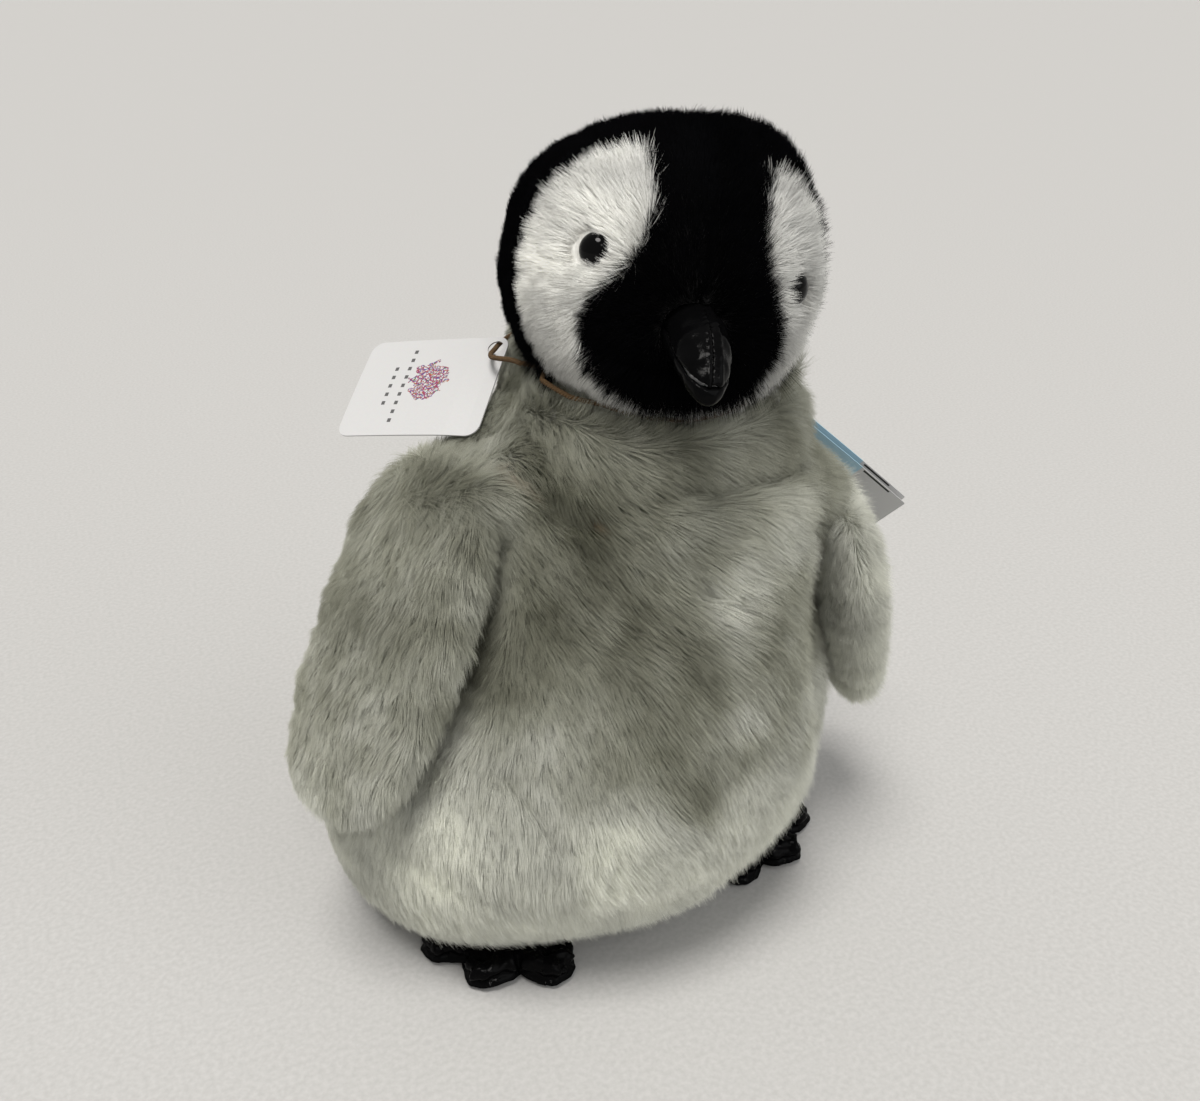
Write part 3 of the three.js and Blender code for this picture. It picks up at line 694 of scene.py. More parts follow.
def under_tag(points):
    """How far the skin sinks under the hang tag, and how near to the tag each point is (0 to 1)."""
    hole, long, short, box, _ = card_axes("hang_tag", "hang_tag_swing")
    out = long.cross(short)
    if (centre("body_stuffing") - hole).dot(out) > 0:
        out = -out
    along, across, above = ((points - np.array(hole)) @ np.array(axis) for axis in (long, short, out))
    beside = np.maximum(np.maximum(box[0] - along, along - box[2]), 0)
    past = np.maximum(np.maximum(box[1] - across, across - box[3]), 0)
    nearness = np.exp(-((np.hypot(beside, past) / (15 * MM)) ** 2)) * (abs(above) < 30 * MM)
    sink = np.clip(above + TAG_BED, 0, None) * nearness
    return np.array(out) * -sink[:, None], nearness


TAG_BED = 4 * MM  # room for the pile between the tag and the skin
COLLAR = 9 * MM  # width of the band round the hollow where the pile stands up
CORD_SHOWS = (-50, -33)  # between these turns the cord lies on top of the pile
SHOULDER = 27 * MM
SLOPE = {"right": 1.0, "left": 0.8}  # how far each shoulder slopes up to the neck
RISE = {"right": 5 * MM, "left": 2 * MM}  # how far each shoulder stands above its flipper


def body_skin():
    """The body's skin, filled, folded and sculpted, its lines, and how near the tag each point is."""
    shoulders = [shoulder(side) for side in SIDES]
    body = remeshed("body_fur", BODY_PANELS + ["body_stuffing"], 4.5 * MM, 6, shoulders)
    puffed(body, 2.5 * MM, 3.5 * MM, lambda p: in_hollow(p) | (p[:, 2] < BASE_HEIGHT))
    subdivided(body, 2)
    points = points_of(body.data)
    lines = {name: body_places(points, line) for name, line in FRONT_LINES.items()}
    above = np.clip((points[:, 2] - BASE_HEIGHT) / (12 * MM), 0, 1)
    lift = sum(depth * near_line(points, lines[name], reach * MM) for name, depth, reach in FOLDS)
    lift += 1.6 * ripple(points, 40 * MM, 2.0) + 0.7 * ripple(points, 16 * MM, 9.0)
    lift *= above * ~in_hollow(points) * MM
    points = points + normals_of(body.data) * lift[:, None]
    sink, tag_nearness = under_tag(points)
    set_points(body.data, points + sink * ~in_hollow(points)[:, None])
    tufted(body, np.array([2.6, 2.6, 8.0]) * MM, 0.45 * MM)
    return body, lines, tag_nearness


def body_comb(points, out, splay, collar):
    """Down, and across to the left high up; outwards at the hem, and up round the hollow."""
    sideways = 0.3 + 0.7 * np.clip((points[:, 2:] / BODY_HIGH.z - 0.5) / 0.25, 0, 1)
    lie = np.hstack([sideways, np.zeros_like(sideways), -np.ones_like(sideways)])
    comb = lie * (1 - 0.5 * splay) + out * (1, 1, 0) * splay * 0.8
    comb += 0.6 * swirl(points, 26 * MM, (3.0, 11.0, 23.0))
    return comb * (1 - collar) + np.array((0, 0, 1.2)) * collar


def body_tone(points, lines):
    """Paler low down as painted sheen, with patches of painted shade and sheen, and painted shade in the
    creases.
    """
    height = points[:, 2] / BODY_HIGH.z
    tone = 0.84 + 0.34 * np.clip((0.44 - height) / 0.2, -0.5, 1)
    # Patches of painted shade and sheen.
    for degrees, share, reach, change in SHADE_AND_SHEEN_PATCHES:
        tone += change * near(points, body_places(points, [(degrees, share)])[0], reach * MM)
    mottle = 0.24 * ripple(points, np.array([15, 15, 24]) * MM, 5.0)
    mottle += 0.13 * ripple(points, 6 * MM, 15.0)
    tone += mottle
    for name, reach, change in SHADED:
        tone += change * near_line(points, lines[name], reach * MM)
    return tone


def add_body():
    body, lines, tag_nearness = body_skin()
    points, out = points_of(body.data), normals_of(body.data)
    splay = np.clip(1 - points[:, 2:] / (16 * MM), 0, 1)
    beyond_hollow = np.linalg.norm(points - HEAD_ROW, axis=1) - NECK_HOLLOW
    collar = np.clip(1 - beyond_hollow / COLLAR, 0, 1)
    under = (points[:, 2] < BASE_HEIGHT) & (out[:, 2] < -0.6)
    grow = (~under & ~in_hollow(points)).astype(float)
    warm = near_line(points, lines["middle_seam"][:3], 2.5 * MM)
    warm += 0.8 * near_line(points, lines["left_chin_fold"][:2], 3 * MM)
    pile = 1 - 0.35 * near_line(points, lines["middle_seam"], 4 * MM) - 0.45 * splay[:, 0]
    pile += 0.15 * collar
    pile *= 1 - 0.5 * tag_nearness
    bare = [place for place in cord_centre() if CORD_SHOWS[0] < turn_of(place) < CORD_SHOWS[1]]
    pile *= 1 - 0.75 * near_line(points, bare, 5 * MM)
    comb = body_comb(points, out, splay, collar[:, None])
    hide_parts(*BODY_PANELS, "body_stuffing")
    grow_fur(body, "grey_fur", comb, grow, pile, body_tone(points, lines), warm)
    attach(body, "body")


# ---- Head ----
EYE_RADIUS = 4.9 * MM
EYE_LAP = {"right": 0.1 * MM, "left": -1.8 * MM}  # how far the bare patch lies behind each eye
EYE_OPENING = {"right": (0.47, 1.25), "left": (0.9, 1.0)}  # half its width and height, in eye radii
EYE_LIFT = {"right": 2.3 * MM, "left": 2.8 * MM}  # how far each eye stands out of the skin
EYE_SHADE = 0.45  # how much darker the skin and pile are close to each eye
EYE_CROP = {"right": 0.52, "left": 0.75}  # how much shorter the pile is around each eye


def head_skin(name, node, locks):
    """A head panel's skin, sunk to leave room for the pile, with its lumps and sculpted locks."""
    skin = remeshed(name, [node], 1.5 * MM, 5)
    subdivided(skin, 1)
    out = normals_of(skin.data)
    points = HEAD_ROW + (points_of(skin.data) - HEAD_ROW) * (1 - HEAD_SINK) + out * 0.5 * MM
    crest = ripple(points, 17 * MM, 4.0) * 0.7 + ripple(points, 8 * MM, 8.0) * 0.3
    for (to_left, up, ahead), lift in HEAD_LUMPS:
        place = HEAD + (HEAD_LEFT * to_left + HEAD_UP * up + HEAD_FRONT * ahead) * HEAD_RADIUS
        crest += lift * near(points, place, 24 * MM)
    set_points(skin.data, points + out * (crest * MM)[:, None])
    tufted(skin, locks, 0.35 * MM)
    return skin


def round_eyes(points):
    """True in the bare patch round each eye."""
    bare = np.zeros(len(points), bool)
    for side in SIDES:
        from_eye = points - np.array(eye_place(side) - HEAD_FRONT * EYE_LAP[side])
        ahead, up = from_eye @ FRONT_ROW, from_eye @ UP_ROW
        wide, tall = EYE_OPENING[side]
        inside = (ahead / wide) ** 2 + (up / tall) ** 2 < EYE_RADIUS**2
        bare |= inside & (np.linalg.norm(from_eye, axis=1) < 2 * EYE_RADIUS)
    return bare


def add_head_panel(side, part, fur, locks):
    node = f"{part}_{side}_panel"
    skin = head_skin(f"{part}_{side}_fur", node, locks)
    points = points_of(skin.data)
    radial = unit_rows(points - HEAD_ROW)
    low = np.clip(-radial @ UP_ROW * 1.6, 0, 1)
    comb = unit_rows(points - BEAK_ROW)
    pile = head_pile(points)
    tone = 0.94 + 0.2 * ripple(points, 12 * MM, 31.0) + 0.12 * ripple(points, 5 * MM, 37.0)
    # Painted shade: the head's left side, turned away from the lamps, is darker.
    if side == "left":
        tone -= 0.22
    if fur == "white_fur":
        comb = 0.4 * comb - 0.8 * FRONT_ROW - 0.2 * UP_ROW
        # Painted shade low on the white cheeks, under the chin.
        tone -= 0.2 * low
        for eye in SIDES:
            tone -= EYE_SHADE * near(points, eye_place(eye), EYE_RADIUS)
    else:
        pile += 0.9 * (low > 0.55) * (radial @ FRONT_ROW > 0.3)
    comb += 0.3 * swirl(points, 13 * MM, (41.0, 43.0, 47.0))
    comb -= 0.9 * low[:, None] * np.array((0, 0, 1.0))
    outer = (radial * normals_of(skin.data)).sum(1) > 0.35
    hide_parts(node)
    grow_fur(skin, fur, comb, (outer & ~round_eyes(points)).astype(float), pile, tone)
    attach(skin, "head")


HEAD_LUMPS = [
    # (how far to the left, up and ahead), lift in mm
    ((0.33, 0.94, 0.07), 3.0),
    ((0.52, 0.84, 0.13), 2.5),
    ((-0.60, 0.78, -0.19), -2.5),
]
HEAD_SINK = 0.042  # share by which the head's skins sit inside the panels, leaving room for the pile


def head_pile(points):
    """Shorter pile close to the eyes and the beak."""
    pile = np.ones(len(points))
    for side in SIDES:
        pile -= EYE_CROP[side] * near(points, eye_place(side), 9 * MM)
    base = HEAD + (BEAK - HEAD).normalized() * HEAD_RADIUS
    return np.clip(pile - 0.5 * near(points, base, 13 * MM), 0.2, 1)


def eye_place(side):
    out = (centre(f"eye_{side}") - HEAD).normalized()
    return HEAD + out * HEAD_RADIUS * (1 - HEAD_SINK)


def add_head():
    for side in SIDES:
        add_head_panel(side, "hood", "black_fur", 2.2 * MM)
        add_head_panel(side, "cheek", "white_fur", 3 * MM)


def finish_piece(obj, material, nodes, body):
    """Gives a piece its material and slot, the CAD nodes it stands for, and the body it rides on."""
    obj.data.materials.clear()
    obj.data.materials.append(material)
    if nodes:
        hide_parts(*nodes)
    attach(obj, body)


# ---- Eyes: a domed button with a thin rim, on its shank ----
def turned(name, profile, place, axis, count=48):
    """A turned shape: profile rows are (radius, height) along an axis."""
    across = axis.orthogonal().normalized()
    along = axis.cross(across)
    points = []
    for radius, height in profile:
        for i in range(count):
            angle = 2 * math.pi * i / count
            out = across * math.cos(angle) + along * math.sin(angle)
            points.append(place + axis * height + out * radius)
    return grid_object(name, points, len(profile), count, caps=True)


def grid_object(name, points, rows, columns, caps=False):
    """Quads over rows of points, each row a loop; caps close both ends."""
    faces = []
    for start in range(0, (rows - 1) * columns, columns):
        for i in range(columns):
            a, b = start + i, start + (i + 1) % columns
            faces.append((a, b, b + columns, a + columns))
    if caps:
        faces.append(tuple(reversed(range(columns))))
        faces.append(tuple(range((rows - 1) * columns, rows * columns)))
    mesh = bpy.data.meshes.new(name)
    mesh.from_pydata([tuple(p) for p in points], [], faces)
    mesh.update()
    obj = new_object(name, mesh)
    shade_smooth(obj)
    return obj


def add_eye(side):
    radius = EYE_RADIUS
    out = (centre(f"eye_{side}") - HEAD).normalized()
    dome = [(radius * math.cos(a), 0.72 * radius * math.sin(a)) for a in np.radians(range(0, 90, 8))]
    rim = [(0.5 * radius, -1.2 * MM), (0.96 * radius, -1.1 * MM), (1.03 * radius, -0.5 * MM)]
    shank = [(0.1 * MM, -7 * MM), (1.4 * MM, -6.8 * MM), (1.5 * MM, -1.3 * MM)]
    profile = shank + rim + dome + [(0.05 * MM, 0.72 * radius)]
    eye = turned(f"eye_{side}_button", profile, eye_place(side) + out * EYE_LIFT[side], out)
    finish_piece(eye, EYE_PLASTIC, [f"eye_{side}"], "head")


# ---- Beak: two upper halves sewn along a raised ridge, over the lower half ----
def add_beak():
    ahead = (BEAK - HEAD).normalized()
    across = HEAD_LEFT
    up = across.cross(-ahead)
    for side in SIDES:
        name = f"beak_upper_{side}"
        half = remeshed(f"{name}_leather", [name], 0.55 * MM, 6)
        points = points_of(half.data)
        place = points - BEAK_ROW
        off = place @ np.array(across)
        along = place @ np.array(ahead)
        outer = (place @ np.array(up) + 4 * MM > 0) | (along > 8 * MM)
        ridge = np.exp(-((np.abs(off) - 1.5 * MM) / (0.8 * MM)) ** 2)
        stitch = 0.5 + 0.5 * np.cos(2 * math.pi * along / (2.1 * MM))
        wrinkle = ripple(points, np.array([4, 4, 4]) * MM, 51.0) * 0.3
        lift = (0.55 * ridge * (0.75 + 0.25 * stitch) * outer + wrinkle) * MM
        points += normals_of(half.data) * lift[:, None]
        points += np.array(up) * 0.25 * MM
        set_points(half.data, points)
        finish_leather(half, [name], "head")
    lower = remeshed("beak_lower_leather", ["beak_lower"], 0.55 * MM, 5)
    raised(lower, ripple(points_of(lower.data), 5 * MM, 55.0) * 0.25 * MM)
    finish_leather(lower, ["beak_lower"], "head")


def finish_leather(obj, nodes, body):
    shade_smooth(obj)
    finish_piece(obj, LEATHER, nodes, body)


# ---- Flippers ----
def add_flipper(side):
    nodes = [f"flipper_{side}_{layer}_panel" for layer in ("outer", "inner")]
    skin = remeshed(f"flipper_{side}_fur", nodes + [f"flipper_{side}_padding"], 3 * MM, 3)
    root = np.array(JOINTS[f"flipper_{side}_raise"]["pos_m"])
    puffed(skin, 1.2 * MM, 2 * MM, lambda p: np.linalg.norm(p - root, axis=1) < 14 * MM)
    subdivided(skin, 2)
    points = points_of(skin.data)
    lift = 0.9 * ripple(points, 18 * MM, 61.0) + 0.5 * ripple(points, 9 * MM, 63.0)
    raised(skin, lift * MM)
    tufted(skin, np.array([2.4, 2.4, 7.0]) * MM, 0.4 * MM)
    points = points_of(skin.data)
    along = points - root
    reach = np.linalg.norm(along, axis=1)
    share = reach / reach.max()
    hang = along[reach.argmax()] / reach.max()
    comb = hang + np.array((0.25, 0, 0)) + 0.4 * swirl(points, 20 * MM, (5.0, 13.0, 29.0))
    tone = 0.63 + 0.36 * share**3 + 0.22 * ripple(points, np.array([10, 10, 18]) * MM, 65.0)
    # Painted light: the left flipper is painted lighter, standing in for light it lacks in the shade at
    # rest.
    tone += 0.12 * ripple(points, 5 * MM, 67.0) + (0.46 if side == "left" else 0)
    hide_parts(*nodes, f"flipper_{side}_padding")
    grow_fur(skin, "grey_fur", comb, np.ones(len(points)), np.full(len(points), 0.85), tone)
    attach(skin, f"flipper_{side}")


# ---- Feet: crumpled leather look, with a sewn edge ----
def foot_axes(side):
    """A foot's hinge and the way its toes point."""
    joint = JOINTS[f"foot_{side}_flex"]
    hinge = Vector(joint["pos_m"])
    left = Vector(joint["axis"]).normalized()
    toes = centre(f"foot_{side}_sole") - hinge
    toes = (toes - left * toes.dot(left)) * Vector((1, 1, 0))
    return hinge, toes.normalized()


def add_foot(side):
    nodes = [f"foot_{side}_upper", f"foot_{side}_sole"]
    foot = remeshed(f"foot_{side}_leather", nodes, 0.9 * MM, 3)
    hinge, toes = foot_axes(side)
    points = points_of(foot.data)
    out = normals_of(foot.data)
    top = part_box(nodes[0])[1].z
    share = np.clip(points[:, 2] / top, 0, 1)
    ahead = np.clip((points - np.array(hinge)) @ np.array(toes) / (36 * MM), 0, 1)
    crumple = 1.8 - 5.0 * abs(ripple(points, 9 * MM, 71.0)) + 0.9 * ripple(points, 4 * MM, 73.0)
    crumple -= 1.6 * abs(ripple(points, 3.4 * MM, 77.0))
    bead = 1.5 * np.exp(-(((share - 0.24) / 0.06) ** 2))
    groove = -0.9 * np.exp(-(((share - 0.42) / 0.08) ** 2))
    lift = crumple * np.clip(share * 1.6, 0.05, 1) + bead + groove
    points += out * (lift * MM)[:, None]
    curl = np.clip(ripple(points, 15 * MM, 79.0 if side == "right" else 83.0) + 0.25, 0, 1) * ahead**2
    points[:, 2] += 5 * MM * curl
    points[:, 2] = np.maximum(points[:, 2], 0.05 * MM)
    set_points(foot.data, points)
    finish_leather(foot, nodes, f"foot_{side}")


# ---- Cards ----
def card_axes(node, joint):
    """A card's hole, the ways its long and short sides run from it, and its box in those axes."""
    hole = Vector(JOINTS[joint]["pos_m"])
    shape = bmesh.new()
    shape.from_mesh(NODES[node].data)
    bmesh.ops.remove_doubles(shape, verts=shape.verts, dist=0.01 * MM)
    sharp = [edge for edge in shape.edges if len(edge.link_faces) == 2 and edge.calc_face_angle() > 1.2]
    side = max(sharp, key=lambda edge: edge.calc_length())
    long = (side.verts[1].co - side.verts[0].co).normalized()
    normal = max(shape.faces, key=lambda face: face.calc_area()).normal.copy()
    corners = [vertex.co - hole for vertex in shape.verts]
    shape.free()
    short = normal.cross(long).normalized()
    if sum(corner.dot(long) for corner in corners) < 0:
        long = -long
    if sum(corner.dot(short) for corner in corners) < 0:
        short = -short
    u = [corner.dot(long) for corner in corners]
    v = [corner.dot(short) for corner in corners]
    w = [corner.dot(long.cross(short)) for corner in corners]
    return hole, long, short, (min(u), min(v), max(u), max(v)), (min(w), max(w))


def card_outline(box, radii, count=10):
    """A rectangle with rounded corners, as (u, v) points, one radius for each corner."""
    u0, v0, u1, v1 = box
    corners = [(u0, v0, 180), (u1, v0, 270), (u1, v1, 0), (u0, v1, 90)]
    points = []
    for (u, v, start), radius in zip(corners, radii):
        middle_u = u + radius * (1 if u == u0 else -1)
        middle_v = v + radius * (1 if v == v0 else -1)
        for i in range(count + 1):
            angle = math.radians(start + 90 * i / count)
            points.append((middle_u + radius * math.cos(angle), middle_v + radius * math.sin(angle)))
    even = []
    for (ua, va), (ub, vb) in zip(points, points[1:] + points[:1]):
        steps = max(1, round(math.hypot(ub - ua, vb - va) / (3 * MM)))
        even += [(ua + (ub - ua) * k / steps, va + (vb - va) * k / steps) for k in range(steps)]
    return even


def card_sheet(name, axes, outline, bore, level, thick, bend):
    """A thin card with a punched hole: rings of quads from the hole to the outline, on both faces."""
    hole, long, short = axes
    out = long.cross(short)
    rings = 16
    columns = len(outline)
    turns = [math.atan2(v, u) for u, v in outline]
    points = []
    spans = [(0, level)] + [(k / rings, level) for k in range(1, rings + 1)]
    spans += [(k / rings, level - thick) for k in range(rings, -1, -1)] + [(0, level)]
    for share, height in spans[:-1]:
        for (u, v), turn in zip(outline, turns):
            pu = bore * math.cos(turn) * (1 - share) + u * share
            pv = bore * math.sin(turn) * (1 - share) + v * share
            points.append(hole + long * pu + short * pv + out * (height + bend(pu, pv)))
    rows = len(spans) - 1
    card = grid_object(name, points, rows, columns)
    shape = bmesh.new()
    shape.from_mesh(card.data)
    shape.verts.ensure_lookup_table()
    for i in range(columns):
        j = (i + 1) % columns
        ends = [(rows - 1) * columns + i, (rows - 1) * columns + j, j, i]
        shape.faces.new([shape.verts[k] for k in ends])
    bmesh.ops.recalc_face_normals(shape, faces=shape.faces)
    shape.to_mesh(card.data)
    shape.free()
    card.data.polygons.foreach_set("use_smooth", [False] * len(card.data.polygons))
    return card


def add_hang_tag():
    hole, long, short, box, level = card_axes("hang_tag", "hang_tag_swing")
    outline = card_outline(box, [4.5 * MM] * 4)
    length = box[2]

    def bend(u, v):
        curl = -1.4 * MM * (u / length) ** 2 + 0.5 * MM * math.sin(3.1 * v / length)
        dog_ear = math.exp(-((u + v) / (7 * MM)) ** 2)
        return curl * min(1, max(0, u / (8 * MM))) + 0.5 * MM * dog_ear * (v / (5 * MM)) * 0.3

    tag = card_sheet("hang_tag_card", (hole, long, short), outline, 2.8 * MM, level[1], 0.5 * MM, bend)
    finish_piece(tag, tag_material(hole, long, short), ["hang_tag"], "hang_tag")


def add_info_card():
    """A folded card: two leaves that gape a little, and the rounded fold between them."""
    hole, long, short, box, level = card_axes("info_card", "info_card_swing")
    outline = card_outline(box, [0.6 * MM] * 4, 3)
    material = info_material(hole, long, short, box)
    low, reach = box[1], box[3]

    def sag(u):
        return 0.8 * MM * math.sin(2.2 * (u - box[0]) / (box[2] - box[0])) - 0.4 * MM

    def leaf(which, height, gape):
        def bend(u, v):
            return sag(u) + gape * max(0, 1 - (v - low) / (reach - low)) ** 1.5

        name = f"info_card_{which}_leaf"
        made = card_sheet(name, (hole, long, short), outline, 1.6 * MM, height, LEAF, bend)
        finish_piece(made, material, [], "info_card")

    leaf("front", level[1], GAPE)
    leaf("back", level[0] + LEAF, -GAPE)
    half = (level[1] - level[0]) / 2
    arc = [math.pi * k / 6 - math.pi / 2 for k in range(7)]
    ring = [(half, angle) for angle in arc] + [(half - LEAF, angle) for angle in reversed(arc)]
    rows = 25
    fold = []
    for row in range(rows):
        u = box[0] + LEAF + (box[2] - box[0] - 2 * LEAF) * row / (rows - 1)
        for radius, angle in ring:
            v = reach - 0.1 * MM + 0.8 * radius * math.cos(angle)
            rise = level[0] + half + sag(u) + radius * math.sin(angle)
            fold.append(hole + long * u + short * v + long.cross(short) * rise)
    spine = grid_object("info_card_spine", fold, rows, len(ring), caps=True)
    finish_piece(spine, material, ["info_card"], "info_card")


def card_place(tree, hole, long, short):
    """Sockets for where a point is on a card, in mm along its long and short sides."""
    place = object_coordinates(tree)
    off = vector(tree, "SUBTRACT", place, tuple(hole))
    u = maths(tree, "DIVIDE", vector(tree, "DOT_PRODUCT", off, tuple(long)), MM)
    v = maths(tree, "DIVIDE", vector(tree, "DOT_PRODUCT", off, tuple(short)), MM)
    return u, v


def within(tree, value, low, high):
    """1 between two values."""
    above = maths(tree, "GREATER_THAN", value, low)
    return times(tree, above, maths(tree, "LESS_THAN", value, high))


def card_finish(tree, colour):
    """Coated card: fibres, faint waviness and a soft sheen."""
    fibres = noise_texture(tree, object_coordinates(tree), 900.0, 4.0)
    waves = noise_texture(tree, object_coordinates(tree), 60.0)
    height = maths(tree, "ADD", fibres[0], waves[0])
    gloss = maths(tree, "MULTIPLY_ADD", fibres[0], 0.2, 0.38)
    colour = blend_colour(tree, 0.06, colour, fibres[1], "MULTIPLY")
    principled(tree, colour, gloss, bumped(tree, height, 0.12, 0.3))


SCRIBBLES = [
    # Turn in degrees, colour
    (10, (0.36, 0.02, 0.04, 1)),
    (35, (0.03, 0.16, 0.05, 1)),
    (62, (0.04, 0.05, 0.26, 1)),
    (88, (0.34, 0.09, 0.01, 1)),
    (118, (0.16, 0.02, 0.16, 1)),
    (150, (0.28, 0.03, 0.09, 1)),
]
PATCH = (21.2, 13.3, 7.4, 8.0)  # the scribbled patch on the tag: middle and half size, mm from the hole
DASH_ROWS = [(30.8, 0, 31), (36.0, 6, 24)]  # rows of dashes: how far along, then from and to across
DASH_WIDE, DASH_PITCH = 1.4, 3.6
LEAF = 0.3 * MM  # thickness of each leaf of the folded card
GAPE = 1.6 * MM  # how far each leaf bends away from the other at the open edge
HEADER = 27.0  # the folded card's coloured end, mm from its hole
RULE = (28.5, 43.0)  # the dark rule's ends, beside the open edge


def tag_material(hole, long, short):
    """White card with a scribbled patch of colour and two rows of small grey dashes."""
    material, tree = new_material("tag_card")
    u, v = card_place(tree, hole, long, short)
    colour = put(tree, "ShaderNodeRGB").outputs[0]
    colour.default_value = grey(0.55)
    middle_u, middle_v, half_u, half_v = PATCH
    spot = put(tree, "ShaderNodeCombineXYZ", {0: u, 1: v}).outputs[0]
    du = maths(tree, "DIVIDE", maths(tree, "SUBTRACT", u, middle_u), half_u)
    dv = maths(tree, "DIVIDE", maths(tree, "SUBTRACT", v, middle_v), half_v)
    away = maths(tree, "SQRT", maths(tree, "MULTIPLY_ADD", du, du, times(tree, dv, dv)))
    away = maths(tree, "ADD", away, noise_texture(tree, spot, 0.35, 1.0)[0])
    patch = maths(tree, "LESS_THAN", away, 1.45)
    for turn, ink in SCRIBBLES:
        turned = {"Vector": spot, "Rotation": (0, 0, math.radians(turn))}
        pen = {"Scale": 0.2, "Distortion": 11.0, "Detail Scale": 1.2}
        pen["Vector"] = put(tree, "ShaderNodeMapping", turned).outputs[0]
        wave = put(tree, "ShaderNodeTexWave", pen).outputs["Fac"]
        line = maths(tree, "GREATER_THAN", wave, 0.94)
        colour = blend_colour(tree, times(tree, line, patch), colour, ink)
    for along, start, end in DASH_ROWS:
        row = within(tree, u, along - DASH_WIDE / 2, along + DASH_WIDE / 2)
        row = times(tree, row, within(tree, v, start, end))
        beat = maths(tree, "FRACT", maths(tree, "DIVIDE", v, DASH_PITCH))
        row = times(tree, row, maths(tree, "LESS_THAN", beat, 0.42))
        colour = blend_colour(tree, row, colour, grey(0.09))
    card_finish(tree, colour)
    return material


def info_material(hole, long, short, box):
    """Grey-white leaf with a pale blue header end and one thin dark rule beside the open edge."""
    material, tree = new_material("info_card")
    u, v = card_place(tree, hole, long, short)
    rule = within(tree, v, box[1] / MM + 0.5, box[1] / MM + 1.3)
    rule = times(tree, rule, within(tree, u, *RULE))
    colour = blend_colour(tree, maths(tree, "LESS_THAN", u, HEADER), grey(0.5), (0.33, 0.5, 0.6, 1))
    colour = blend_colour(tree, rule, colour, grey(0.01))
    card_finish(tree, colour)
    return material


# ---- Cord ----
def tubes(name, paths, radius, sides):
    """Round tubes along closed paths, as one mesh, with frames carried along so as not to twist."""
    points, faces = [], []
    for path in paths:
        start = len(points)
        count = len(path)
        across = None
        for i, place in enumerate(path):
            along = (path[(i + 1) % count] - path[i - 1]).normalized()
            across = along.orthogonal() if across is None else across - along * across.dot(along)
            across.normalize()
            other = along.cross(across)
            for k in range(sides):
                angle = 2 * math.pi * k / sides
                points.append(place + (across * math.cos(angle) + other * math.sin(angle)) * radius)
        for i in range(count):
            j = (i + 1) % count
            for k in range(sides):
                m = (k + 1) % sides
                quad = (i * sides + k, i * sides + m, j * sides + m, j * sides + k)
                faces.append(tuple(start + q for q in quad))
    mesh = bpy.data.meshes.new(name)
    mesh.from_pydata([tuple(p) for p in points], [], faces)
    mesh.update()
    obj = new_object(name, mesh)
    shade_smooth(obj)
    return obj


def cord_centre():
    """The middle of the CAD cord, as a closed path round the neck."""
    points = points_of(NODES["neck_cord"].data)
    turn = np.arctan2(points[:, 1] - HEAD.y, points[:, 0] - HEAD.x)
    count = 72
    path = []
    for i in range(count):
        middle = 2 * math.pi * i / count - math.pi
        off = np.abs((turn - middle + math.pi) % (2 * math.pi) - math.pi)
        weight = np.exp(-((off / 0.06) ** 2))
        path.append(Vector((points * weight[:, None]).sum(0) / weight.sum()))
    return path


def refined(path, steps):
    """A closed path with more points, on a smooth curve through the old ones."""
    fine = []
    count = len(path)
    for i in range(count):
        a, b, c, d = (path[(i + k) % count] for k in (-1, 0, 1, 2))
        for s in range(steps):
            t = s / steps
            bend = (2 * a - 5 * b + 4 * c - d) * t**2 + (3 * b - a - 3 * c + d) * t**3
            fine.append(0.5 * (2 * b + (c - a) * t + bend))
    return fine


PLIES = 3
PLY = 0.42 * MM  # radius of each ply
PLY_OFFSET = 0.46 * MM  # from the cord's middle to the middle of each ply
TWIST = 2.6 * MM  # one turn of the plies
SUNK = 4.0 * MM  # how far the cord is pulled into the pile
SINK_TURNS = (-64, -59, -54, -49, -36, -27, 60, 75)  # where it dives in and comes out, in degrees
SINK_SHARES = (0, 1, 1, 0, 0, 1, 1, 0)


def add_cord():
    path = refined(cord_centre(), 24)
    lengths = np.cumsum([0] + [(b - a).length for a, b in zip(path, path[1:] + path[:1])])
    turns = round(lengths[-1] / TWIST)
    plies = []
    for ply in range(PLIES):
        strand = []
        for place, length in zip(path, lengths):
            radial = ((place - HEAD) * Vector((1, 1, 0))).normalized()
            angle = 2 * math.pi * (turns * length / lengths[-1] + ply / PLIES)
            sink = SUNK * float(np.interp(turn_of(place), SINK_TURNS, SINK_SHARES))
            offset = radial * math.cos(angle) + Vector((0, 0, math.sin(angle)))
            strand.append(place - radial * sink + offset * PLY_OFFSET)
        plies.append(strand)
    cord = tubes("neck_cord_twist", plies, PLY, 6)
    finish_piece(cord, CORD_THREAD, ["neck_cord"], "body")


# ---- Inner pieces and small plastic parts carried over from the CAD ----
def dress(node, material):
    for slot in NODES[node].material_slots:
        slot.material = material


def dress_inner_pieces():
    for node in ("neck_stuffing", "head_stuffing", "beak_stuffing"):
        dress(node, FIBRE)
    for side in SIDES:
        dress(f"foot_{side}_padding", FIBRE)
        dress(f"eye_{side}_washer", WASHER_PLASTIC)
    dress("pellet_bag", CALICO)
    dress("pellet_fill", PELLETS)
    dress("info_card_fastener", NYLON)


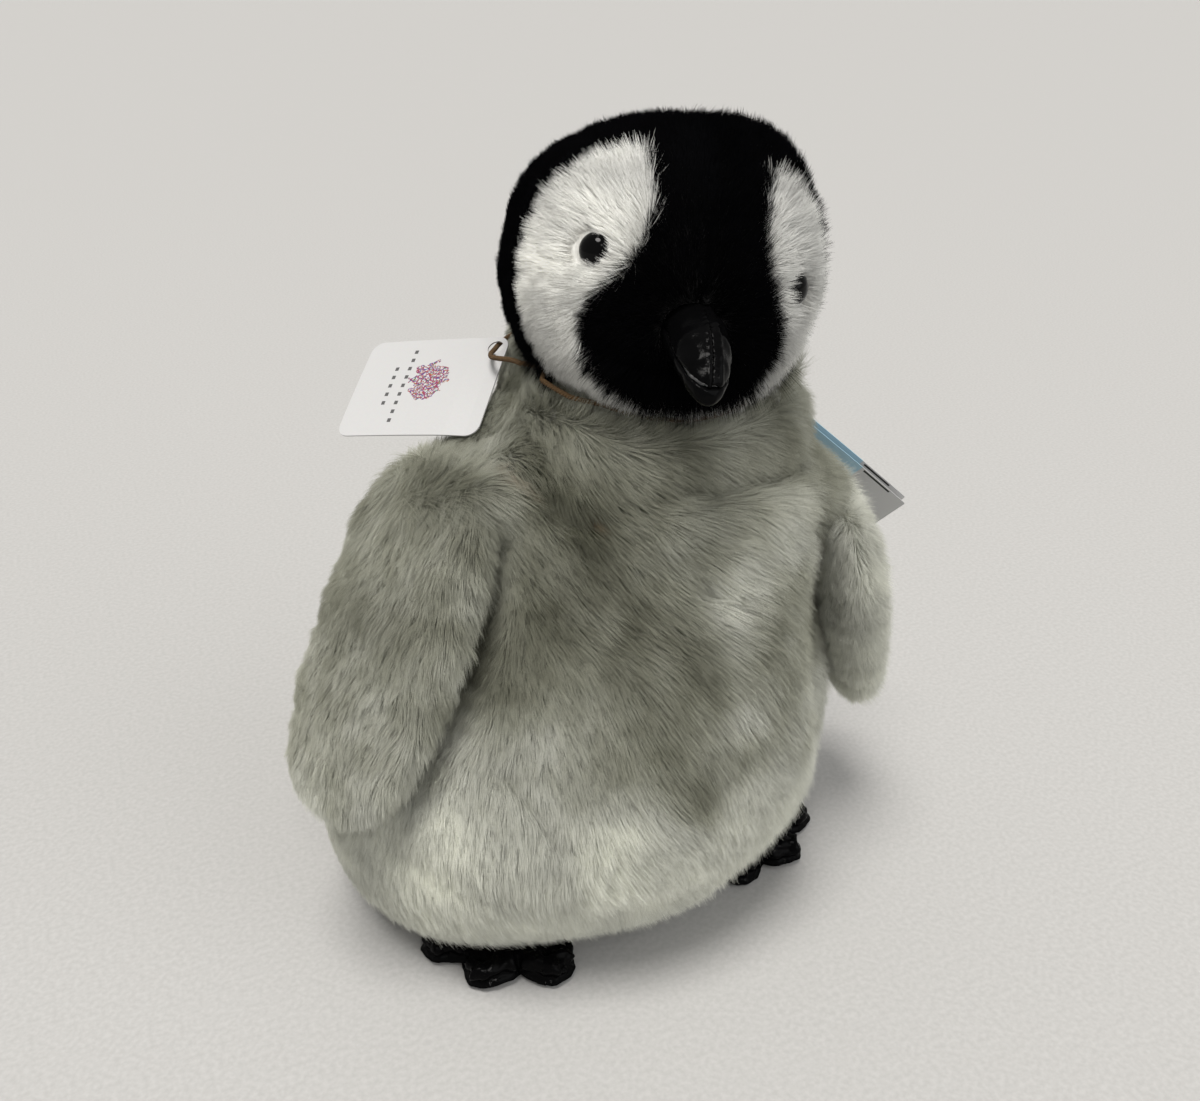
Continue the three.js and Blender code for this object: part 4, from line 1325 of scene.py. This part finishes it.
LEATHER = leather_material("leather_look", (0.001, 0.001, 0.0011, 1), 0.08)
EYE_PLASTIC = moulded_material("eye_plastic", (0.001, 0.001, 0.001, 1), 0.06, shine=0.12)
WASHER_PLASTIC = moulded_material("washer_plastic", (0.6, 0.6, 0.58, 1), 0.4)
NYLON = moulded_material("nylon", (0.75, 0.75, 0.75, 1), 0.25, through=0.5)
FIBRE = weave_material("fibre", grey(0.6), grey(0.8), 1.2 * MM, 1.0)
CALICO = weave_material("calico", (0.5, 0.45, 0.36, 1), (0.72, 0.68, 0.58, 1), 0.6 * MM)
PELLETS = moulded_material("pellets", (0.7, 0.72, 0.72, 1), 0.3)
CORD_THREAD = weave_material("cord_thread", (0.05, 0.026, 0.008, 1), (0.23, 0.13, 0.05, 1), 0.5 * MM)


# ---- Light, floor, camera ----
FLOOR_REACH = 40.0


def add_stage():
    corners = [(x * FLOOR_REACH, y * FLOOR_REACH, 0) for x, y in ((-1, -1), (1, -1), (1, 1), (-1, 1))]
    floor_mesh = bpy.data.meshes.new("floor")
    floor_mesh.from_pydata(corners, [], [(0, 1, 2, 3)])
    floor = new_object("floor", floor_mesh)
    material, tree = new_material("floor")
    speckle = noise_texture(tree, object_coordinates(tree), 500.0)[0]
    tone = ramp(tree, speckle, [(0.3, (0.41, 0.405, 0.395, 1)), (0.7, (0.465, 0.46, 0.45, 1))])
    principled(tree, tone, 0.6)
    floor_mesh.materials.append(material)


def add_sun(name, towards, strength, spread, colour):
    data = bpy.data.lights.new(name, "SUN")
    data.energy = strength
    data.angle = math.radians(spread)
    data.color = colour
    light = bpy.data.objects.new(name, data)
    light.rotation_euler = Vector(towards).to_track_quat("-Z", "Y").to_euler()
    bpy.context.scene.collection.objects.link(light)


def add_lights():
    """A broad lamp above, a small one for glints, a weak fill, and a pale room round them."""
    add_sun("ceiling_lamp", (0.22, 0.2, -1.0), 3.0, 24, (1.0, 0.975, 0.94))
    add_sun("glint", (0.1, 0.75, -0.75), 0.3, 5, (1.0, 0.99, 0.97))
    add_sun("fill", (-0.5, 0.8, -0.6), 0.75, 50, (0.97, 0.98, 1.0))
    world = bpy.data.worlds.new("room")
    world.use_nodes = True
    tree = world.node_tree
    tree.nodes.clear()
    seen = put(tree, "ShaderNodeBackground", {"Color": (0.66, 0.65, 0.62, 1), "Strength": 1.0})
    lighting = put(tree, "ShaderNodeBackground", {"Color": (0.8, 0.79, 0.77, 1), "Strength": 0.54})
    path = put(tree, "ShaderNodeLightPath").outputs["Is Camera Ray"]
    room = put(tree, "ShaderNodeMixShader", {0: path, 1: lighting.outputs[0], 2: seen.outputs[0]})
    put(tree, "ShaderNodeOutputWorld", {"Surface": room.outputs[0]})
    bpy.context.scene.world = world
    bpy.context.scene.view_settings.view_transform = "Standard"


CAMERA = {"turn": -25.0, "pitch": 27.7, "back": 0.385, "height": 0.343, "lens": 36.0}


def add_camera():
    data = bpy.data.cameras.new("camera")
    data.sensor_width = 36
    data.lens = CAMERA["lens"]
    camera = bpy.data.objects.new("camera", data)
    turn = math.radians(CAMERA["turn"])
    back = CAMERA["back"]
    camera.location = (back * math.sin(turn), -back * math.cos(turn), CAMERA["height"])
    camera.rotation_euler = Euler((math.radians(90 - CAMERA["pitch"]), 0, turn))
    bpy.context.scene.collection.objects.link(camera)
    bpy.context.scene.camera = camera


add_body()
add_head()
add_beak()
for side in SIDES:
    add_eye(side)
    add_flipper(side)
    add_foot(side)
add_hang_tag()
add_info_card()
add_cord()
dress_inner_pieces()
add_stage()
add_lights()
add_camera()
